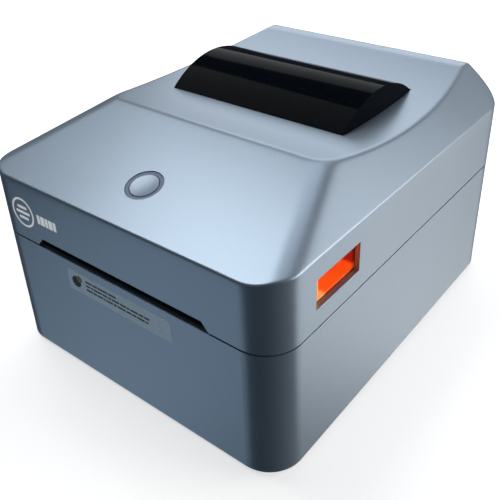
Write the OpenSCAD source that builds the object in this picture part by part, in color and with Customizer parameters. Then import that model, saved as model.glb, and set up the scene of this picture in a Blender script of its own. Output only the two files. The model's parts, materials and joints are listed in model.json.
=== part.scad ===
// Desktop thermal label printer: a tub-shaped base, a hinged lid with a smoked roll window,
// pull-forward release levers in both flanks, and the print works inside.
// X runs to the right, Y to the rear, Z up. The origin is on the table under the middle of the printer's box,
// hinge knuckles included, so the casing's middle lies a little ahead of it.

/* [Casing] */
// Width of the casing
body_w = 178; // [160:1:220]
// Depth of the casing, front face to rear face
body_d = 215; // [200:1:260]
// Corner radius of the casing in plan
corner_r = 17.5; // [10:0.5:24]
// Wall of the plastic casings
wall = 2.5; // [2:0.1:3]
// Height of the parting line above the table
part_z = 70; // [64:1:84]
// Width of the shadow gap at the parting line
part_gap = 0.8; // [0.6:0.1:1.2]
// Height of the rubber feet below the casing
foot_h = 2; // [1.5:0.5:4]
// Diameter of a rubber foot
foot_d = 14; // [10:1:20]

/* [Lid outline] */
// Height of the lid's front band, parting line to front edge of the deck
band_h = 33.8; // [30:0.1:44]
// Slope of the front deck
deck_angle = 16; // [12:0.5:20]
// Length of the front deck measured along the depth
deck_len = 66.5; // [58:0.5:76]
// Height from the parting line to the shoulder where the side slopes start
shoulder_h = 35.5; // [32:0.5:46]
// Lean of the side slopes away from the vertical
slope_angle = 52; // [45:1:56]
// How far the roof dips between its front and rear ridges
roof_sag = 6; // [4:0.5:8]
// Flat land behind the dip
rear_land = 10; // [6:1:14]
// Radius of the roof's rear edge
rear_edge_r = 5; // [3:0.5:8]

/* [Label roll and window] */
// Largest label roll
roll_d = 100; // [90:1:110]
// Width of the widest label stock
media_w = 108; // [90:1:112]
// Roll axis behind the middle of the casing
roll_back = 27.5; // [22:0.5:32]
// Roll axis above the parting line
roll_rise = 7.7; // [4:0.1:12]
// Air gap round the roll, under the window
roll_gap = 1.2; // [1:0.1:3]
// Air gap between the roll and its trough
trough_gap = 2.5; // [2:0.1:4]
// Thickness of the window
window_t = 1.6; // [1.2:0.1:2]
// Window width
window_w = 108; // [96:1:112]
// Window's front edge, ahead of the roll axis
window_front = 33.5; // [28:0.5:38]
// Window's rear edge, behind the roll axis
window_rear = 34.5; // [28:0.5:38]

/* [Label slots] */
// Width of the exit slot at its foot
slot_w = 110; // [100:1:116]
// Height of the exit slot above the parting line
slot_h = 4.7; // [4.4:0.1:7]
// Height of the rear slot for fan-fold stock
rear_slot_h = 5.6; // [5:0.1:8]

/* [Feed button] */
// Diameter of the button's ring
ring_d = 18; // [17:0.5:26]
// Diameter of the button
button_d = 13.8; // [11:0.1:16]
// Button centre behind the front face
button_inset = 23.9; // [18:0.1:30]
// Travel of the button
button_travel = 0.8; // [0.5:0.1:1]

/* [Release levers] */
// Length of the finger opening
pocket_len = 33; // [28:0.5:38]
// Height of the finger opening
pocket_h = 15; // [13:0.5:18]
// Finger opening behind the front face
pocket_inset = 27.5; // [24:0.5:34]
// Finger opening above the parting line
pocket_rise = 10; // [9:0.5:12]
// Depth of the finger cup
cup_depth = 16; // [14:0.5:18]
// Width of the lever's pull face
pull_face = 5.5; // [4:0.5:8]
// Lever pivot behind the front face
lever_inset = 47.5; // [44:0.5:54]
// Lever pivot above the parting line
lever_rise = 30; // [28:0.5:34]
// Diameter of the shaft that ties both levers
lever_shaft_d = 5; // [4:0.5:6]
// Diameter of the catch pins
catch_d = 4; // [3:0.5:5]
// Catch pins behind the front face
catch_inset = 37.5; // [34:0.5:42]
// Catch pins below the parting line
catch_drop = 6; // [5:0.5:8]

/* [Platen and print head] */
// Diameter of the platen roller
platen_d = 16; // [14:0.5:18]
// Length of the rubber
platen_len = 112; // [100:1:114]
// Platen axis behind the front face
platen_inset = 15.5; // [14:0.5:18]
// Platen axis below the parting line
platen_drop = 7; // [6.5:0.1:9]
// Platen shaft diameter
platen_shaft_d = 6; // [5:0.5:8]
// Length of the print head
head_len = 110; // [96:1:112]

/* [Drive] */
// Module of the drive gears
gear_module = 0.8; // [0.7:0.05:0.9]
// Teeth on the platen gear
platen_teeth = 24; // [22:1:28]
// Teeth on the idler
idler_teeth = 30; // [26:1:32]
// Teeth on the motor pinion
pinion_teeth = 12; // [12:1:16]
// Face width of the gears
gear_face = 5; // [4:0.5:6]
// Size of the square stepper motor
motor_size = 35; // [28:1:35]
// Thickness of the steel side plates
plate_t = 1.5; // [1:0.1:2]

/* [Roll holders] */
// Travel of each roll holder
holder_travel = 37; // [30:1:37]
// Thickness of a roll holder
holder_t = 2.5; // [2:0.1:3]
// Diameter of a roll hub
hub_d = 22; // [18:1:25]
// Reach of a roll hub into the core
hub_reach = 6; // [4:0.5:8]
// Module of the racks
rack_module = 1; // [0.8:0.1:1]
// Teeth on the rack pinion
rack_teeth = 14; // [14:2:16]

/* [Hinge] */
// Diameter of the hinge knuckles
knuckle_d = 8; // [7:0.5:10]
// Diameter of the hinge pins
hinge_pin_d = 3; // [2.5:0.5:4]
// Middle of each hinge from the middle of the casing
hinge_x = 69; // [66:0.5:72]
// Length of a hinge, over all its knuckles
hinge_len = 18; // [16:0.5:20]

/* [Fits and fasteners] */
// Radial clearance of a running fit
running_fit = 0.05; // [0.02:0.01:0.1]
// Clearance between pieces that are assembled together
clearance = 0.3; // [0.2:0.05:0.5]
// Screw diameter
screw_d = 3; // [2.5:0.5:3]
// Screw head diameter
screw_head_d = 5.6; // [5:0.1:6.5]

/* [Hidden] */
$fn = 64;
eps = 0.01;
over = 1;

sticker_t = 0.15;
mid_y = -(knuckle_d / 2 - sticker_t) / 2;
front_y = mid_y - body_d / 2;
rear_y = mid_y + body_d / 2;
side_x = body_w / 2;
base_top = part_z - part_gap / 2;
lid_bottom = part_z + part_gap / 2;
base_bottom = foot_h;
floor_top = base_bottom + wall;

// lid outline
deck_z = part_z + band_h;
crease_y = front_y + deck_len;
roof_z = deck_z + deck_len * tan(deck_angle);
shoulder_z = part_z + shoulder_h;
sag_end = rear_y - rear_land;
sag_half = (sag_end - crease_y) / 2;
sag_y = (sag_end + crease_y) / 2;
sag_r = (sag_half * sag_half + roof_sag * roof_sag) / (2 * roof_sag);
sag_z = roof_z - roof_sag + sag_r;

// roll and window
roll_y = mid_y + roll_back;
roll_z = part_z + roll_rise;
roll_r = roll_d / 2;
window_r = roll_r + roll_gap + window_t;
window_y0 = roll_y - window_front;
window_y1 = roll_y + window_rear;
window_seat_z = sag_z - sag_r - wall - clearance;
window_lip = 4;
flange_t = 1.4;
trough_r = roll_r + trough_gap;
trough_t = 2.2;
trough_x = media_w / 2 + 6;
bay_top = part_z - 6.5;
bay_skin = 2;

// feed button, on the deck
button_y = front_y + button_inset;
button_z = deck_z + button_inset * tan(deck_angle);
ring_sink = 0.4;

// release levers
pocket_y0 = front_y + pocket_inset;
pocket_y1 = pocket_y0 + pocket_len;
pocket_z0 = part_z + pocket_rise;
pocket_z1 = pocket_z0 + pocket_h;
lever_y = front_y + lever_inset;
lever_z = part_z + lever_rise;
cup_face_x = side_x - wall - 0.5;
cup_t = 1.5;
hook_x = 74.5;
hook_t = 4;
catch_y = front_y + catch_inset;
catch_z = part_z - catch_drop;
catch_x0 = hook_x - 1.5;
hook_gap_y = catch_y - catch_d / 2 - 0.8;
hook_r = norm([catch_y - lever_y, catch_z - lever_z]) + catch_d / 2 + clearance;
catch_block_x = hook_x + hook_t + 1.2;

// platen and print head
platen_y = front_y + platen_inset;
platen_z = part_z - platen_drop;
head_gap = 0.3;
head_z = platen_z + platen_d / 2 + head_gap;
head_t = 1.2;
head_y0 = platen_y - 5.5;
head_y1 = platen_y + platen_d / 2 + 4;
sink_top = head_z + head_t + 7.5;
frame_z = part_z + 20;
frame_t = 2;
bracket_t = 2;
guide_pin_d = 4;
guide_pin_x = 30;
head_y = (head_y0 + head_y1) / 2;
spring_xs = [-45, 0, 45];
spring_r = 3;
spring_wire = 0.8;

// drive train on the left
plate_x = platen_len / 2 + 6;
gear_x = plate_x + plate_t + 2.5;
idler_dir = -50;
motor_dir = -40;
mesh_gap = 0.05;
platen_idler = gear_module * (platen_teeth + idler_teeth) / 2 + mesh_gap;
idler_motor = gear_module * (idler_teeth + pinion_teeth) / 2 + mesh_gap;
idler_y = platen_y + platen_idler * cos(idler_dir);
idler_z = platen_z + platen_idler * sin(idler_dir);
motor_y = idler_y + idler_motor * cos(motor_dir);
motor_z = idler_z + idler_motor * sin(motor_dir);
idler_phase = next_phase(idler_dir, idler_dir, platen_teeth, idler_teeth);
motor_phase = next_phase(motor_dir, idler_phase, idler_teeth, pinion_teeth);
axle_d = 4;
motor_shaft_d = 5;

// roll holders
holder_x = media_w / 2 + 0.5;
rack_r = rack_module * rack_teeth / 2;
rack_z = roll_z - trough_r - trough_t - 7.5;
rack_h = 4;
rack_back = 4.5;
foot_half = 4;
hub_z = roll_z;

// electronics at the rear
board_t = 1.6;
board_z = floor_top + 3.5;
board_y0 = roll_y + 16;
board_y1 = rear_y - wall - 5;
board_x = 70;
jack_x = 48;
usb_x = 18;
switch_x = -52;
port_z = board_z + board_t + 7;
switch_z = floor_top + 19;
switch_w = 14;
switch_hole_h = 22;
rocker_tilt = 8;

// screws
base_posts = [[-76, front_y + 22], [76, front_y + 22], [-76, rear_y - 24], [76, rear_y - 24]];
lid_posts = [[-48, front_y + 9.5], [48, front_y + 9.5], [-74, rear_y - 38], [74, rear_y - 38]];
post_d = 8;
base_post_top = floor_top + 16;

// involute teeth
function involute(r, base_r) =
    r <= base_r ? 0 : let(t = sqrt(pow(r / base_r, 2) - 1)) t * 180 / PI - atan(t);
function half_tooth(teeth, pitch_r, r) =
    let(base_r = pitch_r * cos(20))
    90 / teeth * 0.92 + involute(pitch_r, base_r) - involute(max(r, base_r), base_r);
function tooth_radii(pitch_r, m) = [pitch_r - 1.2 * m, pitch_r - 0.5 * m, pitch_r, pitch_r + 0.5 * m,
                                    pitch_r + 0.9 * m];
function gear_outline(teeth, m, phase) =
    let(pitch_r = teeth * m / 2, radii = tooth_radii(pitch_r, m), last = len(radii) - 1)
    [for (i = [0:teeth - 1], j = [0:2 * last + 1])
        let(k = j <= last ? j : 2 * last + 1 - j,
            side = j <= last ? -1 : 1,
            a = phase + 360 / teeth * i + side * half_tooth(teeth, pitch_r, radii[k]))
        [radii[k] * cos(a), radii[k] * sin(a)]];
// phase of a gear that meshes with another one lying in direction dir from it
function next_phase(dir, phase, teeth, next_teeth) =
    dir + 180 + (dir - phase) * teeth / next_teeth + 180 / next_teeth;

// a wire swept along a path of points, as one closed solid
function ring_at(p, u, v, r, sides) =
    [for (k = [0:sides - 1]) p + r * (cos(360 / sides * k) * u + sin(360 / sides * k) * v)];
module wire(path, wire_r, axis, sides = 6) {
    n = len(path);
    tangent = [for (i = [0:n - 1]) path[min(i + 1, n - 1)] - path[max(i - 1, 0)]];
    side = [for (i = [0:n - 1]) let(c = cross(axis, tangent[i])) c / norm(c)];
    up = [for (i = [0:n - 1]) let(c = cross(tangent[i], side[i])) c / norm(c)];
    points = [for (i = [0:n - 1]) each ring_at(path[i], side[i], up[i], wire_r, sides)];
    walls = [for (i = [0:n - 2], k = [0:sides - 1])
        let(a = i * sides + k, b = i * sides + (k + 1) % sides) each
        [[a, b, b + sides], [a, b + sides, a + sides]]];
    polyhedron(points, concat([[for (k = [sides - 1:-1:0]) k]], walls,
                              [[for (k = [0:sides - 1]) (n - 1) * sides + k]]));
}

// flat outlines
module rounded_rect(w, d, r) {
    square([w - 2 * r, d], center = true);
    square([w, d - 2 * r], center = true);
    for (x = [-1, 1], y = [-1, 1])
        translate([x * (w / 2 - r), y * (d / 2 - r)]) circle(r);
}
module plan(inset) {
    translate([0, mid_y]) rounded_rect(body_w - 2 * inset, body_d - 2 * inset, corner_r - inset);
}
// extrude an outline drawn as (Y, Z) along X, from x0 to x1
module along_x(x0, x1) {
    translate([x0, 0, 0]) rotate([90, 0, 90]) linear_extrude(x1 - x0) children();
}
// a rod along X
module rod_x(x0, x1, y, z, r) {
    translate([x0, y, z]) rotate([0, 90, 0]) cylinder(r = r, h = x1 - x0);
}
// a rod along Y
module rod_y(y0, y1, x, z, r) {
    translate([x, y0, z]) rotate([-90, 0, 0]) cylinder(r = r, h = y1 - y0);
}
module box(x0, x1, y0, y1, z0, z1) {
    translate([x0, y0, z0]) cube([x1 - x0, y1 - y0, z1 - z0]);
}
module both_sides() {
    children();
    mirror([1, 0, 0]) children();
}

// the lid's outer form with every face moved inwards by inset, from height z0 up
module lid_form(inset, z0) {
    lean = tan(slope_angle);
    top = roof_z - inset;
    shift = inset * sqrt(1 + lean * lean);
    deck_drop = inset / cos(deck_angle);
    edge_z = shoulder_z - (shift - inset) / lean;
    rear = rear_y - inset;
    edge_r = max(rear_edge_r - inset, 0.5);
    difference() {
        intersection() {
            translate([0, 0, z0]) linear_extrude(top - z0) plan(inset);
            along_x(-side_x, side_x) polygon(concat(
                [[rear, z0], [front_y, z0], [front_y, deck_z - deck_drop],
                 [crease_y + (deck_drop - inset) / tan(deck_angle), top]],
                [for (a = [90:-15:0]) [rear - edge_r + edge_r * cos(a), top - edge_r + edge_r * sin(a)]]));
            translate([0, body_d, 0]) rotate([90, 0, 0]) linear_extrude(2 * body_d) polygon([
                [-side_x + inset, z0], [side_x - inset, z0], [side_x - inset, edge_z],
                [side_x - shift - (top - shoulder_z) * lean, top],
                [-side_x + shift + (top - shoulder_z) * lean, top], [-side_x + inset, edge_z]]);
        }
        translate([-side_x - over, sag_y, sag_z]) rotate([0, 90, 0])
            cylinder(r = sag_r + inset, h = body_w + 2 * over, $fn = 360);
    }
}
// places children on the deck at the button, with Z along the deck's normal
module on_deck() {
    translate([0, button_y, button_z]) rotate([deck_angle, 0, 0]) children();
}

// hinge knuckles: base ones at both ends, the lid's in the middle
knuckle_end = hinge_len / 4;
module base_knuckle_spans() {
    for (s = [-1, 1], x = [-hinge_len / 2, hinge_len / 2 - knuckle_end])
        translate([s * hinge_x + x, 0, 0]) children();
}
module lid_knuckle_spans() {
    for (s = [-1, 1])
        translate([s * hinge_x - hinge_len / 2 + knuckle_end + clearance, 0, 0]) children();
}
lid_knuckle_len = hinge_len - 2 * knuckle_end - 2 * clearance;
knuckle_r = knuckle_d / 2;
notch_r = knuckle_r + 0.6;

// ---- base ----
module base_shell() color("lightsteelblue") difference() {
    union() {
        difference() {
            translate([0, 0, base_bottom]) linear_extrude(base_top - base_bottom) plan(0);
            translate([0, 0, base_bottom - over]) linear_extrude(base_top - base_bottom + 2 * over) plan(wall);
        }
        // blocks that carry the catch pins
        both_sides() box(catch_block_x, side_x - wall + eps, catch_y - 6, catch_y + 6, catch_z - 9,
                         catch_z + 5);
        // screw posts on ribs
        for (p = base_posts) {
            translate([p[0], p[1], floor_top + clearance]) cylinder(d = post_d, h = base_post_top - floor_top);
            box(min(p[0], sign(p[0]) * (side_x - wall / 2)), max(p[0], sign(p[0]) * (side_x - wall / 2)),
                p[1] - 1, p[1] + 1, floor_top + clearance, base_post_top);
        }
        // hinge knuckles and their webs
        base_knuckle_spans() {
            rod_x(0, knuckle_end, rear_y, part_z, knuckle_r);
            box(0, knuckle_end, rear_y - wall, rear_y + knuckle_r - 1, part_z - 9, part_z);
        }
    }
    for (p = base_posts) translate([p[0], p[1], floor_top])
        cylinder(d = screw_d + 2 * running_fit, h = base_post_top - floor_top - 2);
    both_sides() rod_x(catch_x0, side_x - wall - 0.5, catch_y, catch_z, catch_d / 2 + running_fit);
    base_knuckle_spans() rod_x(-over, knuckle_end + over, rear_y, part_z, hinge_pin_d / 2 + running_fit);
    lid_knuckle_spans() rod_x(-clearance, lid_knuckle_len + clearance, rear_y, part_z, notch_r);
    // slot for fan-fold stock
    box(-slot_w / 2 - 1, slot_w / 2 + 1, rear_y - wall - over, rear_y + over, base_top - rear_slot_h, part_z);
    // socket, port and switch openings
    rod_y(rear_y - wall - over, rear_y + over, jack_x, port_z, 4.7);
    box(usb_x - 6.3, usb_x + 6.3, rear_y - wall - over, rear_y + over, port_z - 5.8, port_z + 5.8);
    box(switch_x - switch_w / 2, switch_x + switch_w / 2, rear_y - wall - over, rear_y + over,
        switch_z - switch_hole_h / 2, switch_z + switch_hole_h / 2);
    // cooling slits in the rear wall
    for (i = [0:7]) box(-26 + i * 4, -24 + i * 4, rear_y - wall - over, rear_y + over, port_z - 4, port_z + 14);
}
// dark lip that carries the label from the platen to the slot
module exit_lip() color("dimgray") difference() {
    box(-slot_w / 2, slot_w / 2, front_y + wall, platen_y - platen_d / 2 - 0.8, platen_z - 3, base_top - 0.2);
    // slope at the top towards the platen
    along_x(-slot_w / 2 - over, slot_w / 2 + over) polygon([
        [front_y + wall + 1, base_top], [platen_y, base_top], [platen_y, base_top - 2.2],
        [platen_y - platen_d / 2 - 0.8, base_top - 2.2]]);
}
module bottom_cover() color("dimgray") difference() {
    union() {
        translate([0, 0, base_bottom]) linear_extrude(wall) plan(wall + clearance);
        for (x = [-1, 1], y = [board_y0 + 6, board_y1 - 6])
            translate([x * (board_x - 6), y, floor_top - eps]) cylinder(d = 7, h = board_z - floor_top + eps);
    }
    for (x = [-1, 1], y = [board_y0 + 6, board_y1 - 6])
        translate([x * (board_x - 6), y, floor_top + 0.5]) cylinder(d = screw_d + 2 * running_fit, h = 10);
    for (p = base_posts) translate([p[0], p[1], base_bottom - over]) {
        cylinder(d = screw_d + 0.4, h = wall + 2 * over);
        cylinder(d = screw_head_d + 0.6, h = over + 1.3);
    }
    for (x = [-1, 1], y = [front_y + 42, rear_y - 44])
        translate([x * (side_x - 14), y, base_bottom - over]) cylinder(d = foot_d + 0.2, h = over + 1);
    // ventilation slits
    for (i = [0:9]) box(-45 + i * 10, -42 + i * 10, front_y + 37.5, front_y + 77.5,
                            base_bottom - over, floor_top + over);
}
module rubber_feet() color("black")
    for (x = [-1, 1], y = [front_y + 42, rear_y - 44])
        translate([x * (side_x - 14), y, 0]) cylinder(d = foot_d, h = base_bottom + 1);
module base_screws() color("silver")
    for (p = base_posts) translate([p[0], p[1], base_bottom]) {
        cylinder(d = screw_head_d, h = 1.3);
        cylinder(d = screw_d, h = 14);
    }
module board_screws() color("silver")
    for (x = [-1, 1], y = [board_y0 + 6, board_y1 - 6])
        translate([x * (board_x - 6), y, 0]) {
            translate([0, 0, board_z + board_t]) cylinder(d = screw_head_d, h = 1.8);
            translate([0, 0, floor_top + 0.8]) cylinder(d = screw_d, h = board_z + board_t - floor_top);
        }
// trough for the roll, with a flange out to the casing walls
module media_bay() color("darkgray") difference() {
    inset = wall + clearance;
    bay_y0 = roll_y - trough_r - 6;
    union() {
        intersection() {
            rod_x(-trough_x, trough_x, roll_y, roll_z, trough_r + trough_t);
            box(-trough_x, trough_x, front_y, rear_y, 0, bay_top);
        }
        intersection() {
            translate([0, 0, bay_top - bay_skin]) linear_extrude(bay_skin) plan(inset);
            box(-side_x, side_x, bay_y0, rear_y - wall - clearance, 0, part_z);
        }
        // legs that stand on the bottom cover
        for (x = [-1, 1], y = [bay_y0 + 4, rear_y - 32])
            box(x * 82 - 3, x * 82 + 3, y - 4, y + 4, floor_top, bay_top - eps);
        translate([0, roll_y, rack_z - 1]) cylinder(d = axle_d, h = 9);
    }
    rod_x(-trough_x + trough_t, trough_x - trough_t, roll_y, roll_z, trough_r);
    both_sides() box(holder_x - holder_travel - 1, holder_x + holder_t + 1, roll_y - foot_half - 0.6,
                     roll_y + foot_half + 0.6, rack_z + rack_h, roll_z - trough_r + 2);
}
module pinion_clip() color("silver") translate([0, roll_y, rack_z - 0.9]) difference() {
    cylinder(d = 8, h = 0.6);
    translate([0, 0, -over]) cylinder(d = axle_d + 0.02, h = 3);
}
module paper_guide() color("dimgray") difference() {
    y0 = platen_y + platen_d / 2 + 3;
    y1 = roll_y - trough_r - 0.5;
    union() {
        box(-plate_x + 1, plate_x - 1, y0, y1, base_top - 3.6, base_top - 1.6);
        for (x = [-1, 1]) box(x * (plate_x - 2.5) - 1.5, x * (plate_x - 2.5) + 1.5, y1 - 14, y1, bay_top,
                              base_top - 3.6 + eps);
    }
    box(6, 26, y0 + 5, y0 + 15, 0, part_z);
}
module side_plate() difference() {
    union() {
        along_x(plate_x, plate_x + plate_t) polygon([
            [platen_y - 9, platen_z + 5], [platen_y + 9, platen_z + 5], [platen_y + 44, platen_z - 14],
            [platen_y + 44, floor_top], [platen_y + 8, floor_top], [platen_y - 9, platen_z - 12]]);
        box(plate_x - 10, plate_x + plate_t, platen_y + 10, platen_y + 42, floor_top, floor_top + plate_t);
    }
    rod_x(plate_x - over, plate_x + plate_t + over, platen_y, platen_z, 5.5 + 0.02);
}
module side_plate_right() color("silver") side_plate();
module side_plate_left() color("silver") mirror([1, 0, 0]) difference() {
    side_plate();
    rod_x(plate_x - over, plate_x + plate_t + over, idler_y, idler_z, axle_d / 2 + 0.02);
    rod_x(plate_x - over, plate_x + plate_t + over, motor_y, motor_z, 8);
}
module platen_bushings() color("ivory") both_sides() difference() {
    union() {
        rod_x(plate_x - 1.2, plate_x + plate_t + 0.8, platen_y, platen_z, 5.5);
        rod_x(plate_x - 1.2, plate_x - 0.1, platen_y, platen_z, 7);
    }
    rod_x(plate_x - 5, plate_x + 5, platen_y, platen_z, platen_shaft_d / 2 + running_fit);
}
module catch_pins() color("silver") both_sides()
    rod_x(catch_x0, side_x - wall - 1, catch_y, catch_z, catch_d / 2);
module stepper_motor() color("dimgray") mirror([1, 0, 0]) difference() {
    half = motor_size / 2;
    union() {
        box(plate_x - 28, plate_x - 0.1, motor_y - half, motor_y + half, motor_z - half, motor_z + half);
        rod_x(plate_x - 0.2, plate_x + plate_t - 0.2, motor_y, motor_z, 7.6);
    }
    rod_x(plate_x - 14, gear_x, motor_y, motor_z, motor_shaft_d / 2 + running_fit);
}
module motor_shaft() color("silver") mirror([1, 0, 0])
    rod_x(plate_x - 13.5, gear_x + gear_face + 0.5, motor_y, motor_z, motor_shaft_d / 2);
module idler_axle() color("silver") mirror([1, 0, 0]) {
    rod_x(plate_x, gear_x + gear_face + 1, idler_y, idler_z, axle_d / 2);
    rod_x(gear_x + gear_face + 0.3, gear_x + gear_face + 1, idler_y, idler_z, 3.2);
}
module main_board() color("seagreen") difference() {
    union() {
        box(-board_x, board_x, board_y0, board_y1, board_z, board_z + board_t);
        top = board_z + board_t - eps;
        box(-20, -6, board_y0 + 14, board_y0 + 28, top, top + 1.6);
        box(4, 14, board_y0 + 10, board_y0 + 22, top, top + 1.2);
        box(-50, -38, board_y0 + 8, board_y0 + 13, top, top + 5);
        box(26, 50, board_y0 + 2, board_y0 + 7, top, top + 4.5);
        for (x = [-36, 58]) translate([x, board_y0 + 30, top]) cylinder(d = 8, h = 11);
    }
    for (x = [-1, 1], y = [board_y0 + 6, board_y1 - 6])
        translate([x * (board_x - 6), y, 0]) cylinder(d = screw_d + 0.4, h = part_z);
}
module power_jack() color("black") difference() {
    y0 = rear_y - 15;
    union() {
        box(jack_x - 4.5, jack_x + 4.5, y0, rear_y - wall - 0.2, board_z + board_t, port_z + 5);
        rod_y(y0, rear_y - 0.4, jack_x, port_z, 4.5);
    }
    difference() {
        rod_y(y0 + 4, rear_y + over, jack_x, port_z, 3.2);
        rod_y(y0, rear_y - 2, jack_x, port_z, 1.05);
    }
}
module usb_port() color("silver") difference() {
    y0 = rear_y - 17;
    box(usb_x - 6, usb_x + 6, y0, rear_y - 0.3, port_z - 5.5, port_z + 5.5);
    difference() {
        box(usb_x - 4.3, usb_x + 4.3, y0 + 6, rear_y + over, port_z - 4, port_z + 4);
        box(usb_x - 2.8, usb_x + 2.8, y0, rear_y - 2, port_z - 1.2, port_z + 2);
    }
}
rocker_y = rear_y - 4.5;
module switch_frame() color("black") difference() {
    half_w = switch_w / 2;
    half_h = switch_hole_h / 2;
    union() {
        box(switch_x - half_w + 0.1, switch_x + half_w - 0.1, rear_y - 18, rear_y + 0.2,
            switch_z - half_h + 0.1, switch_z + half_h - 0.1);
        box(switch_x - half_w - 1.5, switch_x + half_w + 1.5, rear_y, rear_y + 1.2,
            switch_z - half_h - 1.5, switch_z + half_h + 1.5);
    }
    box(switch_x - half_w + 1.2, switch_x + half_w - 1.2, rear_y - 10, rear_y + 2,
        switch_z - half_h + 0.9, switch_z + half_h - 0.9);
    rod_x(switch_x - half_w + 0.4, switch_x + half_w - 0.4, rocker_y, switch_z, 1 + running_fit);
}
// rests with its lower half pressed
module power_rocker() color("black") translate([0, rocker_y, switch_z]) rotate([-rocker_tilt, 0, 0]) {
    along_x(switch_x - switch_w / 2 + 1.5, switch_x + switch_w / 2 - 1.5)
        polygon([[-3.5, -7.5], [4.6, -8.4], [3.2, 0], [4.6, 8.4], [-3.5, 7.5]]);
    rod_x(switch_x - switch_w / 2 + 0.6, switch_x + switch_w / 2 - 0.6, 0, 0, 1);
}
module lower_sensor() color("black") {
    y0 = platen_y + platen_d / 2 + 8.3;
    box(6.3, 25.7, y0, y0 + 9.4, base_top - 7, base_top - 1.8);
}
module hinge_pins() color("silver")
    for (s = [-1, 1]) rod_x(s * hinge_x - hinge_len / 2, s * hinge_x + hinge_len / 2, rear_y, part_z,
                            hinge_pin_d / 2);
module front_sticker() color("gainsboro") translate([-1, front_y, base_top - 10.5])
    rotate([90, 0, 0]) linear_extrude(sticker_t) rounded_rect(68, 11.5, 1);

// ---- lid ----
module lid_shell() color("lightsteelblue") difference() {
    union() {
        difference() {
            lid_form(0, lid_bottom);
            lid_form(wall, lid_bottom - over);
        }
        intersection() {
            lid_form(wall / 2, lid_bottom);
            for (p = lid_posts) translate([p[0], p[1], frame_z + frame_t]) cylinder(d = post_d, h = 60);
        }
        lid_knuckle_spans() {
            rod_x(0, lid_knuckle_len, rear_y, part_z, knuckle_r);
            box(0, lid_knuckle_len, rear_y - wall, rear_y + knuckle_r - 1, part_z, part_z + 9);
        }
    }
    for (p = lid_posts) translate([p[0], p[1], frame_z]) cylinder(d = screw_d + 2 * running_fit, h = 9);
    lid_knuckle_spans() rod_x(-over, lid_knuckle_len + over, rear_y, part_z, hinge_pin_d / 2 + running_fit);
    base_knuckle_spans() rod_x(-clearance, knuckle_end + clearance, rear_y, part_z, notch_r);
    // exit slot with leaning ends
    translate([0, front_y + wall + over, 0]) rotate([90, 0, 0]) linear_extrude(wall + 2 * over) polygon([
        [-slot_w / 2, part_z], [slot_w / 2, part_z], [slot_w / 2 - slot_h * 0.8, part_z + slot_h],
        [-slot_w / 2 + slot_h * 0.8, part_z + slot_h]]);
    // window, button and finger openings
    box(-window_w / 2 - 0.2, window_w / 2 + 0.2, window_y0 - 0.2, window_y1 + 0.2, shoulder_z, roof_z + over);
    on_deck() translate([0, 0, -wall * 2]) cylinder(d = ring_d + 0.3, h = wall * 4);
    box(-side_x - over, side_x + over, pocket_y0, pocket_y1, pocket_z0, pocket_z1);
}
// inner frame: a plate round the roll's space, with the bearings of the lever shaft
module lid_frame() color("dimgray") difference() {
    bearing_x = trough_x + 1;
    union() {
        translate([0, 0, frame_z]) linear_extrude(frame_t) plan(wall + clearance);
        both_sides() box(bearing_x - 1, bearing_x + 4, lever_y - 7, lever_y + 7, frame_z, lever_z + 6);
        // rim round the roll's space
        difference() {
            box(-trough_x - 1.5, trough_x + 1.5, roll_y - trough_r - 3, roll_y + trough_r + 3, frame_z,
                frame_z + 7);
            box(-trough_x + 0.5, trough_x - 0.5, roll_y - trough_r - 1, roll_y + trough_r + 1, frame_z - over,
                frame_z + 8);
        }
    }
    box(-trough_x + 0.5, trough_x - 0.5, roll_y - trough_r - 1, roll_y + trough_r + 1, frame_z - over,
        frame_z + 8);
    both_sides() box(bearing_x + 4, side_x, pocket_y0 - 12, pocket_y1 + 8, 0, lever_z + 10);
    both_sides() rod_x(0, side_x, lever_y, lever_z, lever_shaft_d / 2 + running_fit);
    for (p = lid_posts) translate([p[0], p[1], 0]) cylinder(d = screw_d + 0.4, h = roof_z);
    both_sides() translate([guide_pin_x, head_y, 0]) cylinder(d = guide_pin_d + 2, h = roof_z);
    // lightening windows in the side rails
    both_sides() for (i = [0:3]) box(trough_x + 5, trough_x + 20, -20 + i * 20, -8 + i * 20, 0, roof_z);
}
module window() color([0.05, 0.07, 0.1]) {
    half = window_w / 2;
    flange_r = sag_r + wall + clearance;
    difference() {
        union() {
            intersection() {
                rod_x(-half, half, roll_y, roll_z, window_r, $fn = 180);
                box(-half, half, window_y0, window_y1, window_seat_z - flange_t, roll_z + window_r + over);
            }
            // flange under the roof
            difference() {
                intersection() {
                    box(-half - window_lip, half + window_lip, window_y0 - window_lip,
                        window_y1 + window_lip, window_seat_z - flange_t, roof_z);
                    rod_x(-half - window_lip, half + window_lip, sag_y, sag_z, flange_r + flange_t, $fn = 360);
                }
                rod_x(-half - window_lip - over, half + window_lip + over, sag_y, sag_z, flange_r, $fn = 360);
            }
        }
        intersection() {
            rod_x(-half + window_t, half - window_t, roll_y, roll_z, window_r - window_t, $fn = 180);
            box(-half, half, window_y0 + window_t, window_y1 - window_t, window_seat_z - 10,
                roll_z + window_r + over);
        }
        box(-half + window_t, half - window_t, window_y0 + window_t, window_y1 - window_t,
            window_seat_z - 10, window_seat_z);
    }
}
module button_ring() color("slategray") on_deck() difference() {
    union() {
        translate([0, 0, -wall - 1.4]) cylinder(d = ring_d, h = wall + 1.4 - ring_sink);
        translate([0, 0, -wall - 1.8]) cylinder(d = ring_d + 5, h = 1.4);
    }
    translate([0, 0, -10]) cylinder(d = button_d + 2 * clearance, h = 20);
}
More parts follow.
